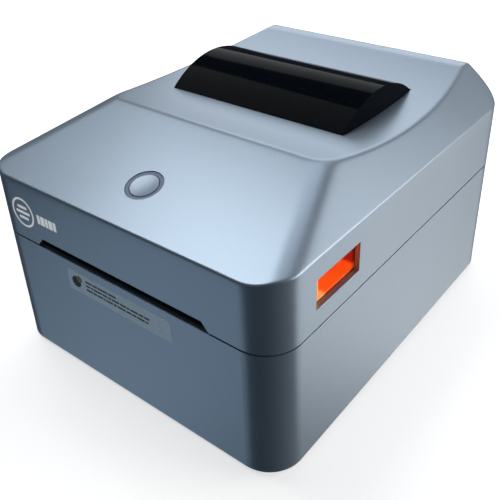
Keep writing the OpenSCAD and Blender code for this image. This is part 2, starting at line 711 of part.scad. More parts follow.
module feed_button() color("lightsteelblue") on_deck() difference() {
    union() {
        translate([0, 0, -5]) cylinder(d = button_d, h = 5);
        translate([0, 0, -6.2]) cylinder(d = button_d + 3, h = 1.2);
    }
    // shallow dish for the fingertip
    translate([0, 0, 59.4]) sphere(r = 60, $fn = 240);
}
module button_board() color("seagreen") on_deck() {
    translate([-12, -9, -12]) cube([24, 18, board_t]);
    translate([-3, -3, -12 + board_t - eps]) cube([6, 6, 2.4]);
    translate([0, 0, -12 + board_t]) cylinder(d = 3, h = 6.2 - board_t - button_travel - 0.5);
}
module tear_bar() color("silver") {
    y0 = front_y + wall + 0.3;
    teeth = 54;
    pitch = (slot_w - 6) / teeth;
    z0 = part_z + slot_h + 0.6;
    translate([0, y0 + 1, 0]) rotate([90, 0, 0]) linear_extrude(1) polygon(concat(
        [[slot_w / 2 - 3, z0 + 9], [-slot_w / 2 + 3, z0 + 9]],
        [for (i = [0:teeth - 1], j = [0:1]) [-slot_w / 2 + 3 + pitch * (i + j / 2), z0 + (j == 0 ? 1 : 0)]],
        [[slot_w / 2 - 3, z0 + 1]]));
}
module head_bracket() color("silver") difference() {
    half = head_len / 2 + 2;
    union() {
        box(-half, half, head_y0 - 1, head_y1 + 4, frame_z - bracket_t, frame_z);
        box(-half, half, head_y1 + 2.5, head_y1 + 4, frame_z - 9, frame_z);
    }
    for (x = [-1, 1]) translate([x * guide_pin_x, head_y, 0])
        cylinder(d = guide_pin_d + 2 * running_fit, h = roof_z);
    for (p = lid_posts) translate([p[0], p[1], 0]) cylinder(d = screw_head_d + 1, h = roof_z);
}
module upper_sensor() color("black") {
    y0 = platen_y + platen_d / 2 + 8.3;
    box(6.3, 25.7, y0, y0 + 9.4, part_z + 8, part_z + 12);
    box(8, 24, y0 + 3, y0 + 6, part_z + 12 - eps, frame_z);
}
module lid_screws() color("silver")
    for (p = lid_posts) translate([p[0], p[1], frame_z]) {
        translate([0, 0, -2]) cylinder(d = screw_head_d, h = 2);
        translate([0, 0, -eps]) cylinder(d = screw_d, h = 8);
    }
// coil round the lever shaft, with a leg at each end that bears on the frame
module latch_spring() color("silver") {
    r = lever_shaft_d / 2 + 1.2;
    turns = 5;
    steps = 14;
    pitch = 1.6;
    x0 = 40;
    leg = 9;
    wire(concat(
        [[x0, lever_y - leg, lever_z - r], [x0, lever_y - leg / 2, lever_z - r]],
        [for (i = [0:turns * steps]) let(a = 270 + 360 * i / steps)
            [x0 + i / steps * pitch, lever_y + r * cos(a), lever_z + r * sin(a)]],
        [[x0 + turns * pitch, lever_y + leg / 2, lever_z - r],
         [x0 + turns * pitch, lever_y + leg, lever_z - r]]), 0.45, [1, 0, 0]);
}

// ---- release levers ----
module latch_shaft() color("silver")
    rod_x(-cup_face_x + 5, cup_face_x - 5, lever_y, lever_z, lever_shaft_d / 2);
module release_lever() difference() {
    x1 = cup_face_x;
    x0 = x1 - cup_depth - cup_t;
    y1 = pocket_y1 - 1 + cup_t;
    union() {
        box(x0, x1, pocket_y0, y1, pocket_z0 + 1 - cup_t, pocket_z1 + cup_t);
        rod_x(x0, x1 - 4, lever_y, lever_z, lever_shaft_d / 2 + 2.5);
        box(x0, x1 - 4, lever_y - 5, lever_y + 5, pocket_z1, lever_z);
        // hook, its nose hollowed round the pivot so that it swings clear of the pin
        along_x(hook_x, hook_x + hook_t) difference() {
            polygon([
                [catch_y - 9, pocket_z0 + 1], [catch_y + 4, pocket_z0 + 1],
                [hook_gap_y, catch_z + 8], [hook_gap_y, catch_z], [catch_y + 3, catch_z],
                [catch_y + 4, catch_z - catch_d / 2 - 2.2], [catch_y - 4, catch_z - catch_d / 2 - 6.5],
                [catch_y - 9, catch_z - 5]]);
            intersection() {
                translate([lever_y, lever_z]) circle(hook_r);
                translate([hook_gap_y, catch_z - 10]) square([20, 10 + eps]);
            }
        }
    }
    box(x0 + cup_t, x1 + over, pocket_y0 + pull_face, y1 - cup_t, pocket_z0 + 1, pocket_z1);
    rod_x(x0 - over, x1, lever_y, lever_z, lever_shaft_d / 2);
}
module release_lever_right() color("orangered") release_lever();
module release_lever_left() color("orangered") mirror([1, 0, 0]) release_lever();

// ---- sprung print head ----
module print_head() color("ivory") {
    box(-head_len / 2, head_len / 2, head_y0, head_y1, head_z, head_z + head_t);
    box(-12, 12, head_y1 - eps, head_y1 + 2, head_z, head_z + head_t);
    box(-12, 12, head_y1 + 0.2, head_y1 + 2, head_z, head_z + 3.5);
}
module heat_sink() color("silver") {
    box(-head_len / 2, head_len / 2, head_y0, head_y1, head_z + head_t, head_z + head_t + 3);
    for (i = [0:3]) box(-head_len / 2, head_len / 2, head_y0 + i * 5, head_y0 + i * 5 + 1.5, head_z + head_t,
                        sink_top - 0.2);
    for (x = spring_xs) translate([x, head_y, head_z + head_t]) cylinder(d = 8, h = sink_top - head_z - head_t);
    for (x = [-1, 1]) translate([x * guide_pin_x, head_y, head_z + head_t])
        cylinder(d = guide_pin_d, h = frame_z + 3 - head_z - head_t);
}
module head_springs() color("silver") {
    turns = 4;
    steps = 14;
    z0 = sink_top + spring_wire / 2;
    rise = frame_z - bracket_t - sink_top - spring_wire;
    for (x = spring_xs) wire([for (i = [0:turns * steps]) let(a = 360 * i / steps)
        [x + spring_r * cos(a), head_y + spring_r * sin(a), z0 + rise * i / (turns * steps)]],
        spring_wire / 2, [0, 0, 1]);
}

// ---- platen and gears ----
module platen_roller() color("black") difference() {
    rod_x(-platen_len / 2, platen_len / 2, platen_y, platen_z, platen_d / 2);
    rod_x(-platen_len, platen_len, platen_y, platen_z, platen_shaft_d / 2);
}
module platen_shaft() color("silver") difference() {
    rod_x(-gear_x - gear_face - 1, plate_x + plate_t + 3, platen_y, platen_z, platen_shaft_d / 2);
    // flat for the gear
    box(-gear_x - gear_face - 2, -gear_x, platen_y - 5, platen_y + 5, platen_z + platen_shaft_d / 2 - 0.6,
        platen_z + 6);
}
// a spur gear on the left of the side plate
module spur(teeth, y, z, phase, bore_d, hub_w) translate([0, y, z]) difference() {
    union() {
        along_x(-gear_x - gear_face, -gear_x) polygon(gear_outline(teeth, gear_module, phase));
        rod_x(-gear_x - 0.1, -gear_x + hub_w, 0, 0, bore_d / 2 + 1.6);
    }
    rod_x(-gear_x - gear_face - over, 0, 0, 0, bore_d / 2);
}
module platen_gear() color("ivory") {
    spur(platen_teeth, platen_y, platen_z, idler_dir, platen_shaft_d, 1);
    box(-gear_x - gear_face, -gear_x, platen_y - 1.6, platen_y + 1.6, platen_z + platen_shaft_d / 2 - 0.6,
        platen_z + platen_shaft_d / 2 + 0.4);
}
module idler_gear() color("ivory")
    spur(idler_teeth, idler_y, idler_z, idler_phase, axle_d + 2 * running_fit, 1.6);
module motor_pinion() color("goldenrod")
    spur(pinion_teeth, motor_y, motor_z, motor_phase, motor_shaft_d, 0.6);

// ---- roll holders ----
// right-hand side plate of the roll, with its paper guide, foot and post
module holder_side() {
    x0 = holder_x;
    x1 = holder_x + holder_t;
    guide_y = roll_y - trough_r - 36;
    along_x(x0, x1) {
        translate([roll_y, hub_z]) circle(hub_d / 2 + 5);
        translate([roll_y - foot_half * 2, roll_z - trough_r + 6]) square([foot_half * 4, trough_r - 6]);
        translate([guide_y, part_z - 1.2]) square([roll_y - guide_y, 7.5]);
    }
    box(x0, x1, roll_y - foot_half, roll_y + foot_half, rack_z + 1, roll_z - trough_r + 7);
}
// rack of the right-hand holder, on the rear side of the pinion
module holder_rack() {
    pitch = PI * rack_module;
    line = rack_r + 0.05;
    tip = line - 0.9 * rack_module;
    root = line + 1.2 * rack_module;
    half_tip = pitch / 4 * 0.92 - 0.9 * rack_module * tan(20);
    half_root = pitch / 4 * 0.92 + 1.2 * rack_module * tan(20);
    x_end = holder_x + holder_t;
    first = -3;
    last = floor((x_end - 9) / pitch) - 1;
    translate([0, roll_y, rack_z]) linear_extrude(rack_h) polygon(concat(
        [[x_end, root + rack_back], [-10.5, root + rack_back], [-10.5, root]],
        [for (i = [first:last]) let(c = pitch * (i + 0.5)) each
            [[c - half_root, root], [c - half_tip, tip], [c + half_tip, tip], [c + half_root, root]]],
        [[x_end, root]]));
    // foot that joins the post to the rack
    box(x_end - 7, x_end, roll_y - foot_half, roll_y + root + rack_back, rack_z, rack_z + rack_h);
}
module roll_holder_right() color("dimgray") difference() {
    union() {
        holder_side();
        holder_rack();
    }
    rod_x(holder_x - over, holder_x + holder_t + over, roll_y, hub_z, 3 + running_fit);
}
module roll_holder_left() color("dimgray") difference() {
    union() {
        mirror([1, 0, 0]) holder_side();
        translate([0, 2 * roll_y, 0]) rotate([0, 0, 180]) holder_rack();
    }
    rod_x(-holder_x - holder_t - over, -holder_x + over, roll_y, hub_z, 3 + running_fit);
}
// tapered hub that carries the core, on a journal through the holder
module roll_hub() translate([holder_x - clearance, roll_y, hub_z]) rotate([0, -90, 0]) {
    cylinder(d = hub_d, h = 2);
    translate([0, 0, 2 - eps]) cylinder(d1 = hub_d - 2, d2 = hub_d - 6, h = hub_reach - 2);
    translate([0, 0, -holder_t - 2 * clearance]) cylinder(r = 3, h = holder_t + 2 * clearance + eps);
    translate([0, 0, -holder_t - 2 * clearance - 1]) cylinder(r = 4.5, h = 1 + eps);
}
module roll_hub_right() color("whitesmoke") roll_hub();
module roll_hub_left() color("whitesmoke") mirror([1, 0, 0]) roll_hub();
module rack_pinion() color("ivory") translate([0, roll_y, rack_z]) difference() {
    linear_extrude(rack_h) polygon(gear_outline(rack_teeth, rack_module, 90));
    translate([0, 0, -over]) cylinder(d = axle_d + 2 * running_fit, h = rack_h + 2 * over);
}

base_shell();
exit_lip();
bottom_cover();
rubber_feet();
media_bay();
paper_guide();
side_plate_left();
side_plate_right();
platen_bushings();
stepper_motor();
idler_axle();
main_board();
board_screws();
power_jack();
usb_port();
switch_frame();
catch_pins();
base_screws();
lower_sensor();
hinge_pins();
pinion_clip();
front_sticker();
lid_shell();
lid_frame();
window();
button_ring();
button_board();
tear_bar();
head_bracket();
upper_sensor();
lid_screws();
latch_spring();
latch_shaft();
release_lever_left();
release_lever_right();
print_head();
heat_sink();
head_springs();
platen_roller();
platen_shaft();
platen_gear();
idler_gear();
motor_pinion();
motor_shaft();
roll_holder_left();
roll_holder_right();
roll_hub_left();
roll_hub_right();
rack_pinion();
feed_button();
power_rocker();
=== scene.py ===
"""Looks of a desktop thermal label printer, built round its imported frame."""

import json
import logging
import math
from collections.abc import Callable, Iterable, Mapping, Sequence
from dataclasses import dataclass, field
from enum import Enum
from typing import Union

import bmesh
import bpy
from bmesh.types import BMesh, BMVert
from bpy.types import Material, Mesh
from mathutils import Matrix, Vector

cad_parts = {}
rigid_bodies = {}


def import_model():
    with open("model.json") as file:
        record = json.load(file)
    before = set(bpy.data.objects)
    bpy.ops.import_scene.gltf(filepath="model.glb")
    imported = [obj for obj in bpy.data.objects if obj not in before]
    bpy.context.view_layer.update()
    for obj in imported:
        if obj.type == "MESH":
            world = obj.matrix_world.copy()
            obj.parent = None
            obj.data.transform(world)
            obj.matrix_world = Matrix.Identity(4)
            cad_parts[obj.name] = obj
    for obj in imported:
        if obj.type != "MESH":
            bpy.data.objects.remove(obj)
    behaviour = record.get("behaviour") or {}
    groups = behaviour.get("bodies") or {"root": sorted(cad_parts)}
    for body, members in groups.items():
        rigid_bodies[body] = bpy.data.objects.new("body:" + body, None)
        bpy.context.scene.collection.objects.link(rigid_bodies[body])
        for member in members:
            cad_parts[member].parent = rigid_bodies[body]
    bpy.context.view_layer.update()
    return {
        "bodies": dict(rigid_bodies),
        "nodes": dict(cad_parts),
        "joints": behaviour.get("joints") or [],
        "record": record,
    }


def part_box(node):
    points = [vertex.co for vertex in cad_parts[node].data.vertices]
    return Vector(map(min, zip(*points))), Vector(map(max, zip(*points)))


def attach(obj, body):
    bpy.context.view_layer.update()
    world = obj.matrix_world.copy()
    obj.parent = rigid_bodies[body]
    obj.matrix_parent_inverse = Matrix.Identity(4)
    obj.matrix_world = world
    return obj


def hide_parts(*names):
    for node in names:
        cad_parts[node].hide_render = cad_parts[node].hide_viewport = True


log = logging.getLogger("label_printer")

MM = 0.001
Colour = tuple[float, float, float]
Pair = tuple[float, float]
Point = tuple[float, float, float]
Operand = Union["Socket", float, Colour]


# ---------------------------------------------------------------- shader maths

class Socket:
    """One output of a shader node that takes part in expressions."""

    def __init__(self, graph: "Graph", output: bpy.types.NodeSocket) -> None:
        """Keeps the output and the graph that it belongs to."""
        self.graph = graph
        self.output = output

    def _maths(self, operation: str, left: Operand, right: Operand) -> "Socket":
        """Result of one more Math node."""
        return self.graph.node("ShaderNodeMath", {"operation": operation}, {0: left, 1: right})

    def __add__(self, other: Operand) -> "Socket":
        """Sum of two values."""
        return self._maths("ADD", self, other)

    def __radd__(self, other: Operand) -> "Socket":
        """Sum with the value on the left."""
        return self._maths("ADD", other, self)

    def __sub__(self, other: Operand) -> "Socket":
        """Difference of two values."""
        return self._maths("SUBTRACT", self, other)

    def __rsub__(self, other: Operand) -> "Socket":
        """Difference with the value on the left."""
        return self._maths("SUBTRACT", other, self)

    def __mul__(self, other: Operand) -> "Socket":
        """Product of two values."""
        return self._maths("MULTIPLY", self, other)

    def __rmul__(self, other: Operand) -> "Socket":
        """Product with the value on the left."""
        return self._maths("MULTIPLY", other, self)

    def __gt__(self, other: Operand) -> "Socket":
        """1 where this value is the greater one, else 0."""
        return self._maths("GREATER_THAN", self, other)

    def power(self, exponent: float) -> "Socket":
        """This value raised to a power."""
        return self._maths("POWER", self, exponent)

    def fade(self, low: float, high: float) -> "Socket":
        """Maps low to 0 and high to 1 smoothly, clamped at both."""
        inputs = {"Value": self, "From Min": low, "From Max": high}
        return self.graph.node("ShaderNodeMapRange", {"interpolation_type": "SMOOTHSTEP"}, inputs)


class Graph:
    """The node graph of one material."""

    def __init__(self, name: str) -> None:
        """Starts a material with an empty graph.

        Args:
            name: the material's name.
        """
        self.material = bpy.data.materials.new(name)
        self.material.use_nodes = True
        self.nodes = self.material.node_tree.nodes
        self.links = self.material.node_tree.links
        self.nodes.clear()
        self.place = self.node("ShaderNodeTexCoord", output="Object")

    def node(self, kind: str, settings: Mapping[str, object] | None = None,
             inputs: Mapping[str | int, Operand] | None = None, output: str | int = 0) -> Socket:
        """Adds any node.

        Args:
            kind: the node's type.
            settings: its attributes; "stops" holds a colour ramp's positions and colours.
            inputs: values or links of its sockets, by name or number.
            output: the output that is wanted.

        Returns:
            That output, ready for expressions.
        """
        made = self.nodes.new(kind)
        for key, value in (settings or {}).items():
            if key == "stops":
                self._set_stops(made.color_ramp, value)
            else:
                setattr(made, key, value)
        for key, value in (inputs or {}).items():
            self.feed(made.inputs[key], value)
        return Socket(self, made.outputs[output])

    def feed(self, target: bpy.types.NodeSocket, value: Operand) -> None:
        """Links or sets one input.

        Args:
            target: the input.
            value: a socket, a number or a colour.
        """
        if isinstance(value, Socket):
            self.links.new(value.output, target)
        elif target.type == "RGBA":
            target.default_value = (*value, 1.0)
        else:
            target.default_value = value

    @staticmethod
    def _set_stops(ramp: bpy.types.ColorRamp, stops: Sequence[tuple[float, Colour]]) -> None:
        """Fills a colour ramp.

        Args:
            ramp: the ramp, with its two first stops.
            stops: positions and colours, in order.
        """
        while len(ramp.elements) < len(stops):
            ramp.elements.new(0.5)
        for element, (position, colour) in zip(ramp.elements, stops):
            element.position = position
            element.color = (*colour, 1.0)

    def mix(self, factor: Operand, first: Operand, second: Operand) -> Socket:
        """Blends two colours: factor 0 gives the first, 1 the second."""
        settings = {"data_type": "RGBA"}
        return self.node("ShaderNodeMix", settings, {0: factor, 6: first, 7: second}, output=2)

    def stretch(self, scale: Point) -> Socket:
        """The surface's place, multiplied along each axis."""
        return self.node("ShaderNodeVectorMath", {"operation": "MULTIPLY"}, {0: self.place, 1: scale})

    def noise(self, cell: float, detail: float = 3.0, scale: Point | None = None) -> Socket:
        """Smooth noise with a mean of about one half.

        Args:
            cell: size of its largest spots, in metres.
            detail: number of finer layers.
            scale: optional stretch along each axis.

        Returns:
            The noise value.
        """
        place = self.stretch(scale) if scale else self.place
        inputs = {"Vector": place, "Scale": 1.0 / cell, "Detail": detail}
        return self.node("ShaderNodeTexNoise", inputs=inputs)

    def grains(self, cell: float) -> Socket:
        """Random value for each grain of a cell structure, with grains of that size in metres."""
        colour = self.node("ShaderNodeTexVoronoi", inputs={"Vector": self.place, "Scale": 1.0 / cell},
                           output="Color")
        return self.node("ShaderNodeSeparateColor", inputs={"Color": colour})

    def bump(self, height: Socket, depth: float, edge: float = 0.0) -> Socket:
        """Normal that follows a height.

        Args:
            height: value from 0 to 1.
            depth: height of 1, in metres.
            edge: radius of softened edges, in metres.

        Returns:
            The normal.
        """
        inputs: dict[str | int, Operand] = {"Height": height, "Distance": depth, "Strength": 1.0}
        if edge:
            inputs["Normal"] = self.node("ShaderNodeBevel", {"samples": 4}, {"Radius": edge})
        return self.node("ShaderNodeBump", inputs=inputs)

    def surface(self, **sockets: Operand) -> Material:
        """Closes the graph with a Principled surface.

        Args:
            sockets: the surface's inputs, with underscores for blanks.

        Returns:
            The finished material.
        """
        inputs = {key.replace("_", " "): value for key, value in sockets.items()}
        shader = self.node("ShaderNodeBsdfPrincipled", inputs=inputs)
        end = self.nodes.new("ShaderNodeOutputMaterial")
        self.links.new(shader.output, end.inputs["Surface"])
        return self.material


# ---------------------------------------------------------------- finishes

def shade(colour: Colour, factor: float) -> Colour:
    """A colour multiplied by a factor."""
    return tuple(min(1.0, part * factor) for part in colour)


@dataclass(frozen=True)
class MouldedPlastic:
    """Injection-moulded plastic with a fine etched grain."""

    name: str
    colour: Colour
    roughness: float = 0.45
    grain: float = 0.0006
    grain_depth: float = 0.00001
    mottle: float = 0.05
    edge: float = 0.0004

    def build(self) -> Material:
        """The finished material."""
        graph = Graph(self.name)
        clouds = graph.noise(0.03, 2.0)
        fine = graph.noise(self.grain, 2.0)
        specks = graph.grains(self.grain * 1.5)
        tone = graph.mix(clouds.fade(0.3, 0.7), shade(self.colour, 1 - self.mottle),
                         shade(self.colour, 1 + self.mottle))
        tone = graph.mix(specks * 0.12, tone, shade(self.colour, 1.3))
        rough = self.roughness - 0.06 + clouds * 0.06 + fine * 0.06
        normal = graph.bump(fine, self.grain_depth, self.edge)
        return graph.surface(Base_Color=tone, Roughness=rough, Normal=normal)


@dataclass(frozen=True)
class PearlPlastic:
    """Satin casing plastic with fine metal flakes in it."""

    name: str
    colour: Colour
    flake: Colour
    roughness: float = 0.34
    metallic: float = 0.55
    edge: float = 0.0005

    def build(self) -> Material:
        """The finished material."""
        graph = Graph(self.name)
        clouds = graph.noise(0.05, 2.0)
        flow = graph.noise(0.02, 3.0, (1.0, 1.0, 0.25))
        fine = graph.noise(0.0007, 2.0)
        flakes = graph.grains(0.00028)
        tone = graph.mix(clouds.fade(0.25, 0.75), shade(self.colour, 0.975), shade(self.colour, 1.025))
        tone = graph.mix(flow.fade(0.5, 0.8) * 0.08, tone, shade(self.colour, 1.08))
        tone = graph.mix(flakes.power(6.0) * 0.12, tone, self.flake)
        rough = self.roughness - 0.04 + clouds * 0.05 + flakes * 0.03
        normal = graph.bump(fine, 0.0000015, self.edge)
        return graph.surface(Base_Color=tone, Roughness=rough, Normal=normal, Metallic=self.metallic)


@dataclass(frozen=True)
class SmokedPlastic:
    """Deep smoked, polished plastic of the roll window."""

    name: str
    colour: Colour
    roughness: float = 0.08

    def build(self) -> Material:
        """The finished material."""
        graph = Graph(self.name)
        haze = graph.noise(0.02, 3.0)
        waves = graph.noise(0.035, 1.0, (0.35, 1.0, 1.0))
        dust = graph.grains(0.0012).power(24.0)
        tone = graph.mix(haze, shade(self.colour, 0.8), shade(self.colour, 1.2))
        tone = graph.mix(dust * 0.015, tone, (0.3, 0.32, 0.34))
        rough = self.roughness + haze.fade(0.5, 0.9) * 0.05 + dust * 0.1
        normal = graph.bump(waves, 0.00002, 0.0003)
        return graph.surface(Base_Color=tone, Roughness=rough, Normal=normal, Specular_IOR_Level=0.010)


@dataclass(frozen=True)
class PaintedLightPlastic:
    """Bright translucent plastic of the release levers with painted light: pale painted highlight on the pull
    face, deep red painted shade in the upper cup, painted glow inside.
    """

    name: str
    colour: Colour
    # deep red of the painted shade in the upper part of the cup
    deep: Colour
    # pale orange of the painted highlight on the pull face
    painted_highlight: Colour
    floor: float
    face: float
    mouth: float
    # strength of the painted glow
    strength: float = 0.5
    roughness: float = 0.32

    def build(self) -> Material:
        """The finished material."""
        graph = Graph(self.name)
        clouds = graph.noise(0.008, 2.0)
        fine = graph.noise(0.0005, 2.0)
        along, rise = (graph.node("ShaderNodeSeparateXYZ", inputs={0: graph.place}, output=axis)
                       for axis in "YZ")
        # painted shade: deep red above the cup's floor; painted highlight: pale on the pull face
        tone = graph.mix(rise.fade(self.floor, self.floor + 3.5 * MM), self.colour, self.deep)
        tone = graph.mix(along.fade(self.face - 1.0 * MM, self.face + 1.5 * MM), self.painted_highlight, tone)
        # painted glow: emission inside the cup, behind its opening
        inside = rise.fade(self.floor - 1.6 * MM, self.floor - 0.4 * MM)
        painted_glow = graph.mix(inside * along.fade(self.mouth, self.mouth + MM), (0.0, 0.0, 0.0), tone)
        rough = self.roughness - 0.04 + fine * 0.08
        normal = graph.bump(fine, 0.000008, 0.0004)
        return graph.surface(Base_Color=graph.mix(clouds * 0.1, tone, self.deep), Roughness=rough,
                             Normal=normal, Emission_Color=painted_glow, Emission_Strength=self.strength)


class Brush(Enum):
    """Direction in which a metal was rolled or turned, as a stretch of its scratches."""

    ALONG_X = (0.02, 1.0, 1.0)
    ALONG_Y = (1.0, 0.02, 1.0)
    ALONG_Z = (1.0, 1.0, 0.02)
    NONE = (1.0, 1.0, 1.0)


@dataclass(frozen=True)
class Metal:
    """Rolled, drawn or turned metal with fine scratches."""

    name: str
    colour: Colour
    roughness: float = 0.3
    brush: Brush = Brush.ALONG_X
    scratch: float = 0.0004

    def build(self) -> Material:
        """The finished material."""
        graph = Graph(self.name)
        lines = graph.noise(self.scratch, 3.0, self.brush.value)
        stains = graph.noise(0.012, 3.0)
        tone = graph.mix(stains.fade(0.35, 0.75), self.colour, shade(self.colour, 0.82))
        tone = graph.mix(lines * 0.2, tone, shade(self.colour, 1.2))
        rough = self.roughness - 0.08 + lines * 0.12 + stains * 0.08
        normal = graph.bump(lines, 0.000006, 0.0002)
        return graph.surface(Base_Color=tone, Roughness=rough, Normal=normal, Metallic=1.0)


@dataclass(frozen=True)
class Rubber:
    """Matt rubber with a ground surface and a little dust."""

    name: str
    colour: Colour
    roughness: float = 0.75

    def build(self) -> Material:
        """The finished material."""
        graph = Graph(self.name)
        ground = graph.noise(0.0004, 4.0)
        dust = graph.noise(0.01, 4.0).fade(0.5, 0.8)
        tone = graph.mix(dust * 0.5, self.colour, shade(self.colour, 2.2))
        rough = self.roughness + ground * 0.12 - 0.06
        normal = graph.bump(ground, 0.00003, 0.0003)
        return graph.surface(Base_Color=tone, Roughness=rough, Normal=normal)


@dataclass(frozen=True)
class CircuitBoard:
    """Solder mask over tracks, with small bright pads."""

    name: str
    mask: Colour
    copper: Colour = (0.05, 0.34, 0.17)
    solder: Colour = (0.65, 0.66, 0.66)

    def build(self) -> Material:
        """The finished material."""
        graph = Graph(self.name)
        bricks = {"Vector": graph.place, "Scale": 160.0, "Mortar Size": 0.08, "Color1": (1.0, 1.0, 1.0),
                  "Color2": (0.5, 0.5, 0.5), "Mortar": (0.0, 0.0, 0.0)}
        tracks = graph.node("ShaderNodeTexBrick", inputs=bricks)
        level = graph.node("ShaderNodeSeparateColor", inputs={"Color": tracks})
        pads = graph.grains(0.0022) > 0.93
        tone = graph.mix(level * 0.8, self.mask, self.copper)
        tone = graph.mix(pads, tone, self.solder)
        rough = 0.3 + graph.noise(0.004, 2.0) * 0.1
        normal = graph.bump(level + pads, 0.00003, 0.0002)
        return graph.surface(Base_Color=tone, Roughness=rough, Normal=normal, Metallic=pads * 0.8,
                             Coat_Weight=0.2, Coat_Roughness=0.2)


@dataclass(frozen=True)
class Film:
    """Thin milky label film, with a painted glow in its own colour."""

    name: str
    colour: Colour
    alpha: float = 0.6
    # strength of the film's painted glow
    painted_glow: float = 0.16

    def build(self) -> Material:
        """The finished material."""
        graph = Graph(self.name)
        bubbles = graph.noise(0.003, 3.0)
        tone = graph.mix(bubbles, shade(self.colour, 0.94), shade(self.colour, 1.04))
        normal = graph.bump(bubbles, 0.00002)
        rough = 0.25 + bubbles * 0.12
        cover = self.alpha - 0.06 + bubbles * 0.12
        return graph.surface(Base_Color=tone, Roughness=rough, Normal=normal, Alpha=cover,
                             Emission_Color=tone, Emission_Strength=self.painted_glow)


@dataclass(frozen=True)
class Ink:
    """Printed ink with a slightly uneven cover and a painted glow where one is given."""

    name: str
    colour: Colour
    roughness: float = 0.5
    # strength of the ink's painted glow; none by default
    painted_glow: float = 0.0

    def build(self) -> Material:
        """The finished material."""
        graph = Graph(self.name)
        cover = graph.noise(0.0006, 3.0)
        tone = graph.mix(cover.fade(0.2, 0.8), shade(self.colour, 0.85), self.colour)
        normal = graph.bump(cover, 0.000004)
        return graph.surface(Base_Color=tone, Roughness=self.roughness + cover * 0.1, Normal=normal,
                             Emission_Color=tone, Emission_Strength=self.painted_glow)


# ---------------------------------------------------------------- meshes

